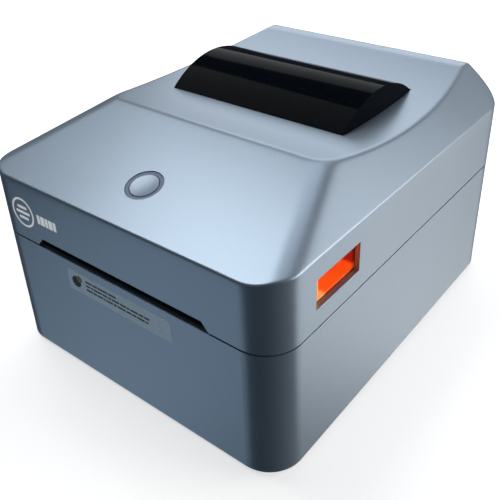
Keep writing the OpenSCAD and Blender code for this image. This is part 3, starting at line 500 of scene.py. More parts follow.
class Build:
    """Small mesh helpers that every sub-assembly uses."""

    @staticmethod
    def show(name: str, data: bpy.types.ID) -> bpy.types.Object:
        """Puts data in the scene as a new object."""
        made = bpy.data.objects.new(name, data)
        bpy.context.scene.collection.objects.link(made)
        return made

    @staticmethod
    def mesh(name: str, made: BMesh) -> Mesh:
        """Turns a bmesh into a mesh with its faces outwards, and frees it."""
        data = bpy.data.meshes.new(name)
        bmesh.ops.recalc_face_normals(made, faces=made.faces)
        made.to_mesh(data)
        made.free()
        return data

    @staticmethod
    def piece(name: str, mesh: Mesh | BMesh, body: str, slot: str,
              material: Material, replaces: Sequence[str] = (), smooth: float = 35.0
              ) -> bpy.types.Object:
        """Puts a mesh in the scene as a piece of the object.

        Args:
            name: the piece's name.
            mesh: its mesh, or a bmesh that is turned into one.
            body: the body it rides on.
            slot: the record's material slot; not used.
            material: its material.
            replaces: CAD nodes that it stands for.
            smooth: edges sharper than this many degrees stay hard.

        Returns:
            The new object.
        """
        data = Build.mesh(name, mesh) if isinstance(mesh, BMesh) else mesh
        made = Build.show(name, data)
        data.materials.clear()
        data.materials.append(material)
        data.shade_smooth()
        data.set_sharp_from_angle(angle=math.radians(smooth))
        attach(made, body)
        if replaces:
            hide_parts(*replaces)
        return made

    @staticmethod
    def prism(outline: Sequence[Pair], low: float, high: float, axis: str = "z"
              ) -> BMesh:
        """A flat outline pushed along one axis.

        Args:
            outline: points in the plane across the axis, anticlockwise.
            low: start along the axis.
            high: end along the axis.
            axis: "x" takes (y, z) points, "y" takes (x, z) points and "z" takes (x, y) points.

        Returns:
            A closed bmesh.
        """
        place: dict[str, Callable[[float, float, float], Point]] = {
            "x": lambda a, b, t: (t, a, b), "y": lambda a, b, t: (a, t, b), "z": lambda a, b, t: (a, b, t)}
        made = bmesh.new()
        ends = [[made.verts.new(place[axis](a, b, t)) for a, b in outline] for t in (low, high)]
        for end in ends:
            made.faces.new(end)
        Build.bridge(made, *ends)
        bmesh.ops.recalc_face_normals(made, faces=made.faces)
        return made

    @staticmethod
    def box(left: float, low: float, right: float, high: float) -> list[Pair]:
        """Outline of a rectangle."""
        return [(left, low), (right, low), (right, high), (left, high)]

    @staticmethod
    def rounded(width: float, height: float, radius: float, steps: int = 8,
                centre: Pair = (0.0, 0.0)) -> list[Pair]:
        """Outline of a rectangle with round corners.

        Args:
            width: full width.
            height: full height.
            radius: corner radius.
            steps: points on each corner.
            centre: its middle.

        Returns:
            The outline's points, anticlockwise.
        """
        points = []
        corners = [(1, 1, 0), (-1, 1, 90), (-1, -1, 180), (1, -1, 270)]
        for sx, sy, start in corners:
            for i in range(steps + 1):
                angle = math.radians(start + 90 * i / steps)
                points.append((centre[0] + sx * (width / 2 - radius) + radius * math.cos(angle),
                               centre[1] + sy * (height / 2 - radius) + radius * math.sin(angle)))
        return points

    @staticmethod
    def disc(radius: float, steps: int = 48, centre: Pair = (0.0, 0.0)
             ) -> list[Pair]:
        """Outline of a circle."""
        turn = 2 * math.pi / steps
        return [(centre[0] + radius * math.cos(i * turn), centre[1] + radius * math.sin(i * turn))
                for i in range(steps)]

    @staticmethod
    def lathe(profile: Sequence[Pair], steps: int = 64) -> BMesh:
        """A profile turned round Z.

        Args:
            profile: (radius, height) points from one end of the axis to the other.
            steps: facets round the axis.

        Returns:
            A bmesh, closed where the profile starts and ends on the axis or on itself.
        """
        made = bmesh.new()
        rings = []
        for radius, height in profile:
            if radius < 1e-7:
                rings.append([made.verts.new((0.0, 0.0, height))] * steps)
            else:
                rings.append([made.verts.new((x, y, height)) for x, y in Build.disc(radius, steps)])
        for low, high in zip(rings, rings[1:]):
            Build.bridge(made, low, high)
        return made

    @staticmethod
    def tube(profile: Sequence[Pair], steps: int) -> BMesh:
        """A closed profile in millimetres turned round Z."""
        made = Build.lathe([(radius * MM, height * MM) for radius, height in profile], steps)
        bmesh.ops.remove_doubles(made, verts=made.verts, dist=1e-8)
        return made

    @staticmethod
    def bridge(made: BMesh, low: Sequence[BMVert], high: Sequence[BMVert]
               ) -> None:
        """Fills the strip between two rings, with triangles where points coincide.

        Args:
            made: the bmesh.
            low: one ring.
            high: the other ring, with as many points.
        """
        count = len(low)
        for i in range(count):
            j = (i + 1) % count
            corners = list(dict.fromkeys((low[i], low[j], high[j], high[i])))
            if len(corners) > 2:
                made.faces.new(corners)

    @staticmethod
    def join(made: BMesh, part: BMesh) -> None:
        """Adds a copy of a part to a bmesh and frees the part.

        Args:
            made: the bmesh that gets it.
            part: the part.
        """
        data = bpy.data.meshes.new("part")
        part.to_mesh(data)
        part.free()
        made.from_mesh(data)
        bpy.data.meshes.remove(data)

    @staticmethod
    def cut(target: Mesh, tools: Iterable[BMesh]) -> Mesh:
        """Cuts closed tools out of a mesh one after another.

        Args:
            target: the mesh to work on.
            tools: the tools.

        Returns:
            The result as a new mesh.
        """
        work = Build.show("work", target)
        helpers = []
        for tool in tools:
            helpers.append(Build.show("tool", Build.mesh("tool", tool)))
            step = work.modifiers.new("cut", "BOOLEAN")
            step.operation = "DIFFERENCE"
            step.solver = "EXACT"
            step.object = helpers[-1]
        bpy.context.view_layer.update()
        result = bpy.data.meshes.new_from_object(work.evaluated_get(bpy.context.evaluated_depsgraph_get()))
        for helper in [*helpers, work]:
            bpy.data.objects.remove(helper)
        return result


def smooth_min(first: float, second: float, width: float) -> float:
    """The smaller of two heights, blended where they are less than a width apart."""
    overlap = max(width - abs(first - second), 0.0) / width
    return min(first, second) - overlap * overlap * width / 4


# ---------------------------------------------------------------- casing sizes

@dataclass(frozen=True)
class Casing:
    """Sizes and places that the sub-assemblies share, counted from the frame."""

    front: float
    half_w: float
    depth: float = 215.0 * MM
    wall: float = 2.5 * MM
    corner: float = 17.5 * MM
    parting: float = 70.0 * MM
    gap: float = 0.8 * MM

    @property
    def rear(self) -> float:
        """Y of the rear face."""
        return self.front + self.depth

    @property
    def lid_posts(self) -> list[Pair]:
        """Places of the posts that hold the lid's inner frame."""
        near = [(side * 48 * MM, self.front + 9.5 * MM) for side in (-1, 1)]
        return near + [(side * 74 * MM, self.rear - 38 * MM) for side in (-1, 1)]

    @classmethod
    def from_frame(cls) -> "Casing":
        """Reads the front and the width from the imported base."""
        low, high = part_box("base_shell")
        return cls(front=low.y, half_w=high.x)


def graded(start: float, end: float, coarse: float, fine: float, zones: Sequence[Pair]
           ) -> list[float]:
    """Positions from start to end with a closer pitch in some zones.

    Args:
        start: first position.
        end: last position.
        coarse: pitch outside the zones.
        fine: pitch inside the zones.
        zones: (low, high) spans that get the fine pitch.

    Returns:
        The positions in rising order.
    """
    marks = sorted({start, end, *(max(start, min(end, edge)) for zone in zones for edge in zone)})
    places = [start]
    for low, high in zip(marks, marks[1:]):
        centre = (low + high) / 2
        pitch = fine if any(a <= centre <= b for a, b in zones) else coarse
        count = max(1, round((high - low) / pitch))
        places += [low + (high - low) * i / count for i in range(1, count + 1)]
    return places


# ---------------------------------------------------------------- lid

@dataclass(frozen=True)
class Grid:
    """Where a skin's points lie: columns, rows and the facets of each corner."""

    xs: list[float]
    ys: list[float]
    steps: int = 14


@dataclass
class Lid:
    """The upper casing: a shell with a sloped deck, leaning sides and a dipped roof."""

    casing: Casing
    deck_angle: float = 16.0
    deck_length: float = 66.5 * MM
    deck_rise: float = 33.8 * MM
    shoulder_rise: float = 35.5 * MM
    slope_angle: float = 52.0
    roof_sag: float = 6.0 * MM
    rear_land: float = 10.0 * MM
    deck_fillet: float = 6.2 * MM
    roof_fillet: float = 0.9 * MM
    crease_fillet: float = 0.7 * MM
    slot_width: float = 110.0 * MM
    slot_height: float = 4.7 * MM
    ring_diameter: float = 18.0 * MM
    button_inset: float = 23.9 * MM
    pocket: Pair = (33.0 * MM, 15.0 * MM)
    pocket_place: Pair = (27.5 * MM, 10.0 * MM)
    hinge_middle: float = 69.0 * MM
    hinge_length: float = 18.0 * MM
    knuckle_radius: float = 4.0 * MM
    hinge_web: float = 9.0 * MM
    hinge_play: float = 0.3 * MM
    notch_play: float = 0.6 * MM
    post_radius: float = 4.0 * MM
    post_foot: float = 22.0 * MM
    edge_width: float = 6.0 * MM
    ridge_width: float = 14.0 * MM
    crease_width: float = 4.2 * MM

    def __post_init__(self) -> None:
        """Works out the outline's places from the casing."""
        shell = self.casing
        self.bottom = shell.parting + shell.gap / 2
        self.deck_z = shell.parting + self.deck_rise
        self.crease = shell.front + self.deck_length
        self.roof = self.deck_z + self.deck_length * self.pitch
        self.shoulder = shell.parting + self.shoulder_rise
        half_sag = (shell.rear - self.rear_land - self.crease) / 2
        self.sag_y = self.crease + half_sag
        self.sag_radius = (half_sag ** 2 + self.roof_sag ** 2) / (2 * self.roof_sag)
        self.sag_z = self.roof - self.roof_sag + self.sag_radius

    @property
    def pitch(self) -> float:
        """Rise of the deck for each metre towards the rear."""
        return math.tan(math.radians(self.deck_angle))

    def height(self, x: float, y: float) -> float:
        """Height of the outer surface before its outer edge is rounded.

        Args:
            x: place across.
            y: place along.

        Returns:
            The height above the table.
        """
        deck = self.deck_z + (y - self.casing.front) * self.pitch
        away = min(abs(y - self.sag_y), self.sag_radius * 0.9)
        arc = self.sag_z - math.sqrt(self.sag_radius ** 2 - away ** 2)
        roof = smooth_min(arc, self.roof, 0.4 * MM)
        slope = self.shoulder + (self.casing.half_w - abs(x)) / math.tan(math.radians(self.slope_angle))
        near = smooth_min(deck, slope, self.deck_fillet)
        far = smooth_min(roof, slope, self.roof_fillet)
        return smooth_min(near, far, self.crease_fillet)

    def edge_radius(self, y: float) -> float:
        """Radius of the rounded outer edge: small in front, tight at the sides, wide behind."""
        shell = self.casing
        back = min(max((y - (shell.rear - shell.corner)) / shell.corner, 0.0), 1.0)
        side = min(max((y - shell.front) / (2 * shell.corner), 0.0), 1.0)
        return (1.0 - 0.45 * side + 4.2 * back * back) * MM

    def fall(self, x: float, y: float) -> float:
        """Vertical thickness of the wall where the surface slopes.

        Args:
            x: place across.
            y: place along.

        Returns:
            The thickness.
        """
        probe = 0.5 * MM
        dx = (self.height(x + probe, y) - self.height(x - probe, y)) / (2 * probe)
        dy = (self.height(x, y + probe) - self.height(x, y - probe)) / (2 * probe)
        return self.casing.wall * math.sqrt(1 + dx * dx + dy * dy)

    def surface(self, x: float, y: float, inner: bool) -> float:
        """Height of the outer or the inner surface."""
        return self.height(x, y) - (self.fall(x, y) if inner else 0.0)

    def columns(self, fine: float) -> list[float]:
        """Positions across the middle field."""
        edge, ridge = self.casing.half_w - self.casing.corner, self.ridge_width
        return graded(-edge, edge, 3.5 * fine, fine, [(-edge, -edge + ridge), (edge - ridge, edge)])

    def rows(self, fine: float) -> list[float]:
        """Positions along the middle field, close together at the crease."""
        shell = self.casing
        low, high = shell.front + shell.corner, shell.rear - shell.corner
        near = self.crease - self.crease_width / 2
        return graded(low, high, 2.5 * fine, 0.35 * fine, [(near, near + self.crease_width)])

    def outline(self, inset: float, grid: Grid) -> list[Pair]:
        """The plan outline moved inwards.

        Args:
            inset: distance from the casing's outer face, up to the corner radius.
            grid: where the points lie.

        Returns:
            Points anticlockwise from the right-hand side.
        """
        shell = self.casing
        radius = max(shell.corner - inset, 0.0)
        wide = shell.half_w - shell.corner
        low, high = shell.front + shell.corner, shell.rear - shell.corner
        across, along = grid.xs[1:-1], grid.ys[1:-1]
        spans = [[(x, high + radius) for x in reversed(across)],
                 [(-wide - radius, y) for y in reversed(along)],
                 [(x, low - radius) for x in across], [(wide + radius, y) for y in along]]
        centres = [(wide, high), (-wide, high), (-wide, low), (wide, low)]
        points: list[Pair] = []
        for turn, (centre, span) in enumerate(zip(centres, spans)):
            for i in range(grid.steps + 1):
                angle = math.radians(90 * (turn + i / grid.steps))
                points.append((centre[0] + radius * math.cos(angle), centre[1] + radius * math.sin(angle)))
            points += span
        return points

    def skin(self, made: BMesh, inner: bool, fine: float) -> list[BMVert]:
        """Adds the outer or the inner skin.

        Args:
            made: the bmesh that gets the skin.
            inner: the skin on the inside of the wall.
            fine: pitch at the ridges.

        Returns:
            The skin's lowest ring.
        """
        shell = self.casing
        grid = Grid(self.columns(fine), self.rows(fine))
        first = self.outline(shell.wall if inner else 0.0, grid)
        rings = [[made.verts.new((x, y, self.bottom)) for x, y in first]]
        start, count = (shell.wall, 10) if inner else (self.edge_width, 12)
        if not inner:
            for share in (0.3, 0.6, 0.9):
                z = self.bottom + share * (self.deck_z - 2 * MM - self.bottom)
                rings.append([made.verts.new((x, y, z)) for x, y in first])
            rings += self.rounded_edge(made, grid)
        insets = [start + (shell.corner - start) * i / count for i in range(count)]
        rings += [[made.verts.new((x, y, self.surface(x, y, inner))) for x, y in self.outline(inset, grid)]
                  for inset in insets]
        rings.append(self.field(made, inner, grid))
        for low, high in zip(rings, rings[1:]):
            Build.bridge(made, low, high)
        return rings[0]

    def rounded_edge(self, made: BMesh, grid: Grid) -> list[list[BMVert]]:
        """Rings over the outer edge's round and on to the even rings.

        Args:
            made: the bmesh that gets the points.
            grid: where the points lie.

        Returns:
            The rings from the side wall inwards.
        """
        arc_steps, flat_steps = 6, 4
        outer = self.outline(0.0, grid)
        directions = [Vector(b) - Vector(a) for a, b in zip(outer, self.outline(1 * MM, grid))]
        rings = []
        for k in range(arc_steps + flat_steps + 1):
            ring = []
            for (x0, y0), inward in zip(outer, directions):
                radius = self.edge_radius(y0)
                angle = math.radians(90 * min(k / arc_steps, 1.0))
                inset = radius * (1 - math.cos(angle))
                if k > arc_steps:
                    inset = radius + (self.edge_width - radius) * (k - arc_steps) / (flat_steps + 1)
                x, y = x0 + inward.x * inset / MM, y0 + inward.y * inset / MM
                ring.append(made.verts.new((x, y, self.height(x, y) - radius * (1 - math.sin(angle)))))
            rings.append(ring)
        return rings

    def field(self, made: BMesh, inner: bool, grid: Grid) -> list[BMVert]:
        """Fills the middle of a skin with a grid.

        Args:
            made: the bmesh that gets the grid.
            inner: the skin on the inside of the wall.
            grid: the field's columns and rows.

        Returns:
            The field's border as a ring that matches the outlines.
        """
        rows = [[made.verts.new((x, y, self.surface(x, y, inner))) for x in grid.xs] for y in grid.ys]
        for low, high in zip(rows, rows[1:]):
            for i in range(len(low) - 1):
                made.faces.new((low[i], low[i + 1], high[i + 1], high[i]))
        west, east = [row[0] for row in reversed(rows)], [row[-1] for row in rows]
        ring: list[BMVert] = []
        for span in (list(reversed(rows[-1])), west, rows[0], east):
            ring += [span[0]] * (grid.steps + 1) + span[1:-1]
        return ring

    def shell(self) -> Mesh:
        """The shell before its openings are cut."""
        made = bmesh.new()
        outer, inner = self.skin(made, False, 1.1 * MM), self.skin(made, True, 2.4 * MM)
        self.rim(made, outer, inner)
        return Build.mesh("lid_shell_solid", made)

    @staticmethod
    def rim(made: BMesh, outer: Sequence[BMVert], inner: Sequence[BMVert]
            ) -> None:
        """Closes the shell's lower edge between rings with different counts.

        Args:
            made: the bmesh.
            outer: outer ring.
            inner: inner ring.
        """
        edges = [made.edges.get((vert, ring[(i + 1) % len(ring)])) for ring in (outer, inner)
                 for i, vert in enumerate(ring)]
        bmesh.ops.triangle_fill(made, use_beauty=True, use_dissolve=False, edges=edges, normal=(0, 0, -1))

    def cutters(self) -> list[BMesh]:
        """Tools for the slot, window, button, finger openings and hinge notches."""
        shell, over = self.casing, 4 * MM
        half, top, lean = self.slot_width / 2, shell.parting + self.slot_height, 0.8 * self.slot_height
        slot = Build.prism([(-half, self.bottom - over), (half, self.bottom - over), (half, self.bottom),
                            (half - lean, top), (-half + lean, top), (-half, self.bottom)],
                           shell.front - over, shell.front + shell.wall + over, "y")
        low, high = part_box("window")
        lip, room = 4 * MM, 0.2 * MM
        lip -= room
        window = Build.prism(Build.box(low.x + lip, low.y + lip, high.x - lip, high.y - lip),
                             self.shoulder, high.z + over)
        button = Build.prism(Build.disc(self.ring_diameter / 2 + 0.15 * MM, 96), -5 * MM, 5 * MM)
        button.transform(self.button_place())
        tools = [slot, window, button]
        middle = (shell.front + self.pocket_place[0] + self.pocket[0] / 2,
                  shell.parting + self.pocket_place[1] + self.pocket[1] / 2)
        pocket = Build.rounded(*self.pocket, 0.6 * MM, 4, middle)
        notch = Build.disc(self.knuckle_radius + self.notch_play, 48, (shell.rear, shell.parting))
        part, play = self.hinge_length / 4, self.hinge_play / 2
        for side in (-1, 1):
            tools.append(Build.prism(pocket, side * (shell.half_w - 2 * shell.wall),
                                     side * (shell.half_w + over), "x"))
        for x in (side * self.hinge_middle + start for side in (-1, 1) for start in (-2 * part, part)):
            tools.append(Build.prism(notch, x - play, x + part + play, "x"))
        return tools

    def button_place(self) -> Matrix:
        """Transform from the button's own axes to the deck."""
        z = self.deck_z + self.button_inset * self.pitch
        turn = Matrix.Rotation(math.radians(self.deck_angle), 4, "X")
        return Matrix.Translation((0.0, self.casing.front + self.button_inset, z)) @ turn

    def knuckles(self) -> BMesh:
        """The lid's hinge knuckles with their webs."""
        shell, made = self.casing, bmesh.new()
        length = self.hinge_length / 2 - self.hinge_play
        y, z, r = shell.rear, shell.parting, self.knuckle_radius
        turns = [math.radians(angle) for angle in range(-90, 106, 13)]
        outline = [(y + r * math.sin(turn), z - r * math.cos(turn)) for turn in turns]
        top, wall = z + self.hinge_web, y - shell.wall
        outline += [(y + r - 1 * MM, top), (wall, top), (wall, z)]
        for side in (-1, 1):
            start = side * self.hinge_middle - length / 2
            Build.join(made, Build.prism(outline, start, start + length, "x"))
        return made

    def posts(self) -> BMesh:
        """The posts that the inner frame is screwed to, each run up into the shell's wall."""
        made, steps = bmesh.new(), 24
        low = self.casing.parting + self.post_foot
        for x, y in self.casing.lid_posts:
            part = bmesh.new()
            circle = Build.disc(self.post_radius, steps, (x, y))
            foot = [part.verts.new((u, v, low)) for u, v in circle]
            *head, peak = [part.verts.new((u, v, self.height(u, v) - 0.5 * self.fall(u, v)))
                           for u, v in (*circle, (x, y))]
            part.faces.new(foot)
            Build.bridge(part, foot, head)
            Build.bridge(part, head, [peak] * steps)
            bmesh.ops.recalc_face_normals(part, faces=part.faces)
            Build.join(made, part)
        return made

    def build(self, finish: Material) -> None:
        """Makes the shell, its posts and its hinge knuckles.

        Args:
            finish: the casing's plastic.
        """
        mesh = Build.cut(self.shell(), self.cutters())
        Build.piece("lid_casing", mesh, "lid", "shell", finish, ["lid_shell"], 32.0)
        Build.piece("lid_knuckles", self.knuckles(), "lid", "shell", finish)
        Build.piece("lid_posts", self.posts(), "lid", "shell", finish, (), 50.0)


# ---------------------------------------------------------------- fasteners and fittings

@dataclass
class Fasteners:
    """Cross recesses of the screws, drawn as dark inlays just proud of their heads: painted shade where the
    recesses lie.
    """

    casing: Casing
    arm: float = 3.0 * MM
    width: float = 0.62 * MM
    proud: float = 0.03 * MM
    depth: float = 0.4 * MM
    board_inset: float = 2.8 * MM
    base_x: float = 76.0 * MM
    base_insets: Pair = (22.0 * MM, 24.0 * MM)

    def cross(self, place: Point, up: float) -> BMesh:
        """One cross with tapered arms.

        Args:
            place: centre of the head's face.
            up: 1 for a head that faces up, -1 for one that faces down.

        Returns:
            The closed cross.
        """
        x, y, z = place
        wide, slim, reach = self.width / 2, self.width * 0.36, self.arm / 2
        quarter = [(slim, reach), (-slim, reach), (-wide, wide)]
        outline = []
        for turn in range(4):
            c, s = round(math.cos(turn * math.pi / 2)), round(math.sin(turn * math.pi / 2))
            outline += [(x + u * c - v * s, y + u * s + v * c) for u, v in quarter]
        return Build.prism(outline, z - up * self.depth, z + up * self.proud)

    def crosses(self, places: Iterable[Pair], z: float, up: float) -> BMesh:
        """A set of crosses at one height."""
        made = bmesh.new()
        for x, y in places:
            Build.join(made, self.cross((x, y, z), up))
        return made

    def build(self, dark: Material) -> None:
        """Makes the painted shade of the recesses of the base, board and lid screws.

        Args:
            dark: finish of a recess, dark as painted shade.
        """
        shell = self.casing
        boxes = {name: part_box(name) for name in ("base_screws", "board_screws", "lid_screws")}
        low, high = boxes["board_screws"]
        inset, (near, far) = self.board_inset, self.base_insets
        board = [(x, y) for x in (low.x + inset, high.x - inset) for y in (low.y + inset, high.y - inset)]
        base = [(side * self.base_x, y) for side in (-1, 1) for y in (shell.front + near, shell.rear - far)]
        # dark crosses: painted shade in the screws' recesses
        rows = (("base_screw_recess_shade", base, boxes["base_screws"][0].z, -1.0, "base"),
                ("board_screw_recess_shade", board, high.z, 1.0, "base"),
                ("lid_screw_recess_shade", shell.lid_posts, boxes["lid_screws"][0].z, -1.0, "lid"))
        for name, places, z, up, body in rows:
            Build.piece(name, self.crosses(places, z, up), body, "dark_plastic", dark)


@dataclass
class Fittings:
    """Small things on the frame's own pieces: heater line, chips, contacts and switch marks."""

    casing: Casing
    proud: float = 0.03
    sunk: float = 0.05
    board: float = 1.6 * MM
    socket_x: float = 48.0 * MM
    rocker_x: float = -52.0 * MM
    rocker_inset: float = 4.5 * MM
    rocker_tilt: float = -8.0

    @staticmethod
    def slabs(origin: Sequence[float], rows: Iterable[Sequence[float]]) -> BMesh:
        """A set of boxes.

        Args:
            origin: the point that they are counted from.
            rows: x, y and z of the low corner and then of the high corner, in millimetres.

        Returns:
            The boxes in one bmesh.
        """
        made = bmesh.new()
        for row in rows:
            x0, y0, z0, x1, y1, z1 = (origin[i % 3] + value * MM for i, value in enumerate(row))
            Build.join(made, Build.prism(Build.box(x0, y0, x1, y1), z0, z1))
        return made

    def heater(self, dark: Material) -> None:
        """The heater line and its contact strips under the print head."""
        low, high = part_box("print_head")
        long = (high.x - low.x) / MM - 2
        rows = [(2, start, -self.proud, long, start + wide, 0.2)
                for start, wide in ((5.2, 0.6), (7.4, 0.25), (9.0, 0.25), (12.6, 1.6))]
        Build.piece("head_heater_line", self.slabs(low, rows), "head", "dark_plastic", dark)

    def chips(self, dark: Material, bright: Material) -> None:
        """Housings and pin rows on the main board.

        Args:
            dark: finish of the housings.
            bright: finish of the pins.
        """
        low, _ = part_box("main_board")
        origin = (0.0, low.y, low.z + self.board)
        bodies: list[Sequence[float]] = []
        pins: list[Sequence[float]] = []
        for x, y, wide, deep, tall, count in ((-20, 14, 14, 14, 1.6, 14), (4, 10, 10, 12, 1.2, 10)):
            bodies.append((x + 0.3, y + 0.3, tall - 0.31, x + wide - 0.3, y + deep - 0.3, tall + 0.02))
            for i in range(count):
                at = x + 0.8 + i * (wide - 1.6) / (count - 1)
                pins += [(at - 0.18, near, -self.sunk, at + 0.18, near + 1.5, 0.18)
                         for near in (y - 1.4, y + deep - 0.1)]
        for x, y, wide, deep, tall in ((-50, 8, 12, 5, 5), (26, 2, 24, 5, 4.5)):
            bodies.append((x + 0.8, y + 0.8, tall - 0.4, x + wide - 0.8, y + deep - 0.8, tall + self.proud))
        for i in range(9):
            x, y = -4 + 3.1 * i, 30 + 4 * (i % 3)
            bodies.append((x, y, -self.sunk, x + 1.6, y + 0.9, 0.5))
            pins += [(end, y, -self.sunk, end + 0.3, y + 0.9, 0.5) for end in (x - 0.3, x + 1.6)]
        Build.piece("board_chips", self.slabs(origin, bodies), "base", "dark_plastic", dark)
        Build.piece("board_pins", self.slabs(origin, pins), "base", "steel", bright)

    def capacitors(self, sleeve: Material, bright: Material) -> None:
        """Sleeves and vented tops of the two capacitors.

        Args:
            sleeve: finish of the sleeves.
            bright: finish of the tops.
        """
        low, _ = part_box("main_board")
        top, y = low.z + self.board, low.y + 30 * MM
        profile = [(4.0, 0.05), (4.06, 0.05), (4.06, 11.0), (3.9, 11.03), (3.2, 11.03), (3.2, 10.9),
                   (4.0, 10.9), (4.0, 0.05)]
        sleeves, caps = bmesh.new(), bmesh.new()
        for x in (-36 * MM, 58 * MM):
            part = Build.tube(profile, 40)
            part.transform(Matrix.Translation((x, y, top)))
            Build.join(sleeves, part)
            disc = Build.disc(3.2 * MM, 40, (x, y))
            Build.join(caps, Build.prism(disc, top + 10.8 * MM, top + 11.01 * MM))
        Build.piece("capacitor_sleeves", sleeves, "base", "dark_plastic", sleeve)
        Build.piece("capacitor_tops", caps, "base", "aluminium", bright)

    def contacts(self, bright: Material, plastic: Material) -> None:
        """The pin of the power socket and the tongue of the data port.

        Args:
            bright: finish of the pin.
            plastic: finish of the tongue.
        """
        rear = self.casing.rear
        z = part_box("usb_port")[1].z - 5.5 * MM
        pin = Build.prism(Build.disc(1.1 * MM, 24, (self.socket_x, z)), rear - 12 * MM, rear - 1.95 * MM, "y")
        Build.piece("socket_pin", pin, "base", "brass", bright)
        tongue = self.slabs((0.0, rear, z), [(15.15, -11.5, -1.25, 20.85, -1.95, 2.05)])
        Build.piece("port_tongue", tongue, "base", "dark_plastic", plastic)

    def marks(self, white: Material) -> None:
        """A bar and a ring on the two halves of the power rocker.

        Args:
            white: the marks' ink.
        """
        low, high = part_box("switch_frame")
        y = self.casing.rear - self.rocker_inset
        pivot = Matrix.Translation((self.rocker_x, y, (low.z + high.z) / 2))
        place = pivot @ Matrix.Rotation(math.radians(self.rocker_tilt), 4, "X")
        bar = self.slabs((0.0, 0.0, 0.0), [(-0.45, -0.06, -1.6, 0.45, self.proud, 1.6)])
        deep, proud = -0.06, self.proud
        ring = Build.tube([(1.2, deep), (1.7, deep), (1.7, proud), (1.2, proud), (1.2, deep)], 36)
        ring.transform(Matrix.Rotation(math.radians(-90), 4, "X"))
        half = math.atan2(1.4, 8.4)
        made = bmesh.new()
        for part, height, lean in ((bar, 4.6 * MM, -half), (ring, -4.6 * MM, half)):
            face = 3.2 * MM + abs(height) / 6.0
            part.transform(place @ Matrix.Translation((0.0, face, height)) @ Matrix.Rotation(lean, 4, "X"))
            Build.join(made, part)
        Build.piece("rocker_marks", made, "rocker", "film", white)

    def build(self, finishes: "Finishes") -> None:
        """Makes every fitting.

        Args:
            finishes: the printer's finishes.
        """
        self.heater(finishes["dark_ink"])
        self.chips(finishes["dark_plastic"], finishes["steel"])
        self.capacitors(finishes["dark_plastic"], finishes["aluminium"])
        self.contacts(finishes["brass"], finishes["dark_plastic"])
        self.marks(finishes["white_ink"])


# ---------------------------------------------------------------- prints on the casing

@dataclass
class FrontPrints:
    """Printed marks: a plain round sign on the lid and a notice on the label strip."""

    casing: Casing
    sign_centre: Pair = (-63.0 * MM, 86.0 * MM)
    sign_radius: float = 8.2 * MM
    skin: float = 0.03 * MM
    sunk: float = 0.02 * MM

    def sign(self) -> BMesh:
        """A plain ring round three bars, a generic sign for a printed label."""
        made = bmesh.new()
        x, z = self.sign_centre
        near, far = self.casing.front - self.skin, self.casing.front + self.sunk
        outer, inner = self.sign_radius, self.sign_radius - 1.1 * MM
        rings = [[made.verts.new((u, y, v)) for u, v in Build.disc(radius, 64, (x, z))]
                 for radius, y in ((outer, near), (outer, far), (inner, far), (inner, near))]
        for low, high in zip(rings, rings[1:] + rings[:1]):
            Build.bridge(made, low, high)
        for level, half in ((-3.0 * MM, 3.6 * MM), (0.0, 5.2 * MM), (3.0 * MM, 3.6 * MM)):
            outline = Build.rounded(2 * half, 1.5 * MM, 0.6 * MM, 4, (x, z + level))
            Build.join(made, Build.prism(outline, near, far, "y"))
        return made

    def bars(self, left: float, low: float, rows: Sequence[Sequence[float]], height: float, pitch: float,
             face: float) -> BMesh:
        """Rows of short bars that stand for lines of small print.

        Args:
            left: X of the first bar.
            low: Z of the top row's foot.
            rows: lengths of the bars in each row, in millimetres.
            height: height of a bar.
            pitch: distance from row to row.
            face: Y of the printed surface.

        Returns:
            The bars.
        """
        made = bmesh.new()
        for number, row in enumerate(rows):
            x, z = left, low - number * pitch
            for length in row:
                outline = Build.box(x, z, x + length * MM, z + height)
                Build.join(made, Build.prism(outline, face - self.skin, face + self.sunk, "y"))
                x += (length + 0.55) * MM
        return made

    def build(self, white: Material, dark: Material, green: Material) -> None:
        """Prints everything.

        Args:
            white: ink of the sign.
            dark: ink of the notice.
            green: ink of the notice's spot.
        """
        Build.piece("lid_sign", self.sign(), "lid", "film", white)
        lid_bars = self.bars(self.sign_centre[0] + 11.0 * MM, self.sign_centre[1] - 2.4 * MM,
                             [[2.0, 2.9, 2.0, 2.9, 2.0]], 5.0 * MM, 6 * MM, self.casing.front)
        Build.piece("lid_bars", lid_bars, "lid", "film", white)
        low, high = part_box("front_sticker")
        face = low.y
        rows = [[4.6, 3.1, 6.4, 5.2], [2.9, 1.4, 5.6, 3.3, 2.1, 4.8, 3.9, 1.7, 5.1, 2.6, 3.4],
                [4.2, 2.5, 3.6, 1.3, 4.4, 2.2, 5.3, 3.1, 2.8, 4.6, 1.9]]
        notice = self.bars(low.x + 12.5 * MM, high.z - 3.4 * MM, rows, 0.95 * MM, 2.35 * MM, face)
        Build.piece("notice_lines", notice, "base", "film", dark)
        level = (low.z + high.z) / 2
        spots = (("notice_spot", 5.6, 0.0, 3.1, 40, (-self.skin, self.sunk), dark),
                 ("notice_dot", 7.9, 2.2, 2.0, 32, (-2 * self.skin, -self.skin), green))
        for name, x, z, radius, steps, (near, far), ink in spots:
            disc = Build.disc(radius * MM, steps, (low.x + x * MM, level + z * MM))
            Build.piece(name, Build.prism(disc, face + near, face + far, "y"), "base", "film", ink)


# ---------------------------------------------------------------- finishes of the frame's pieces

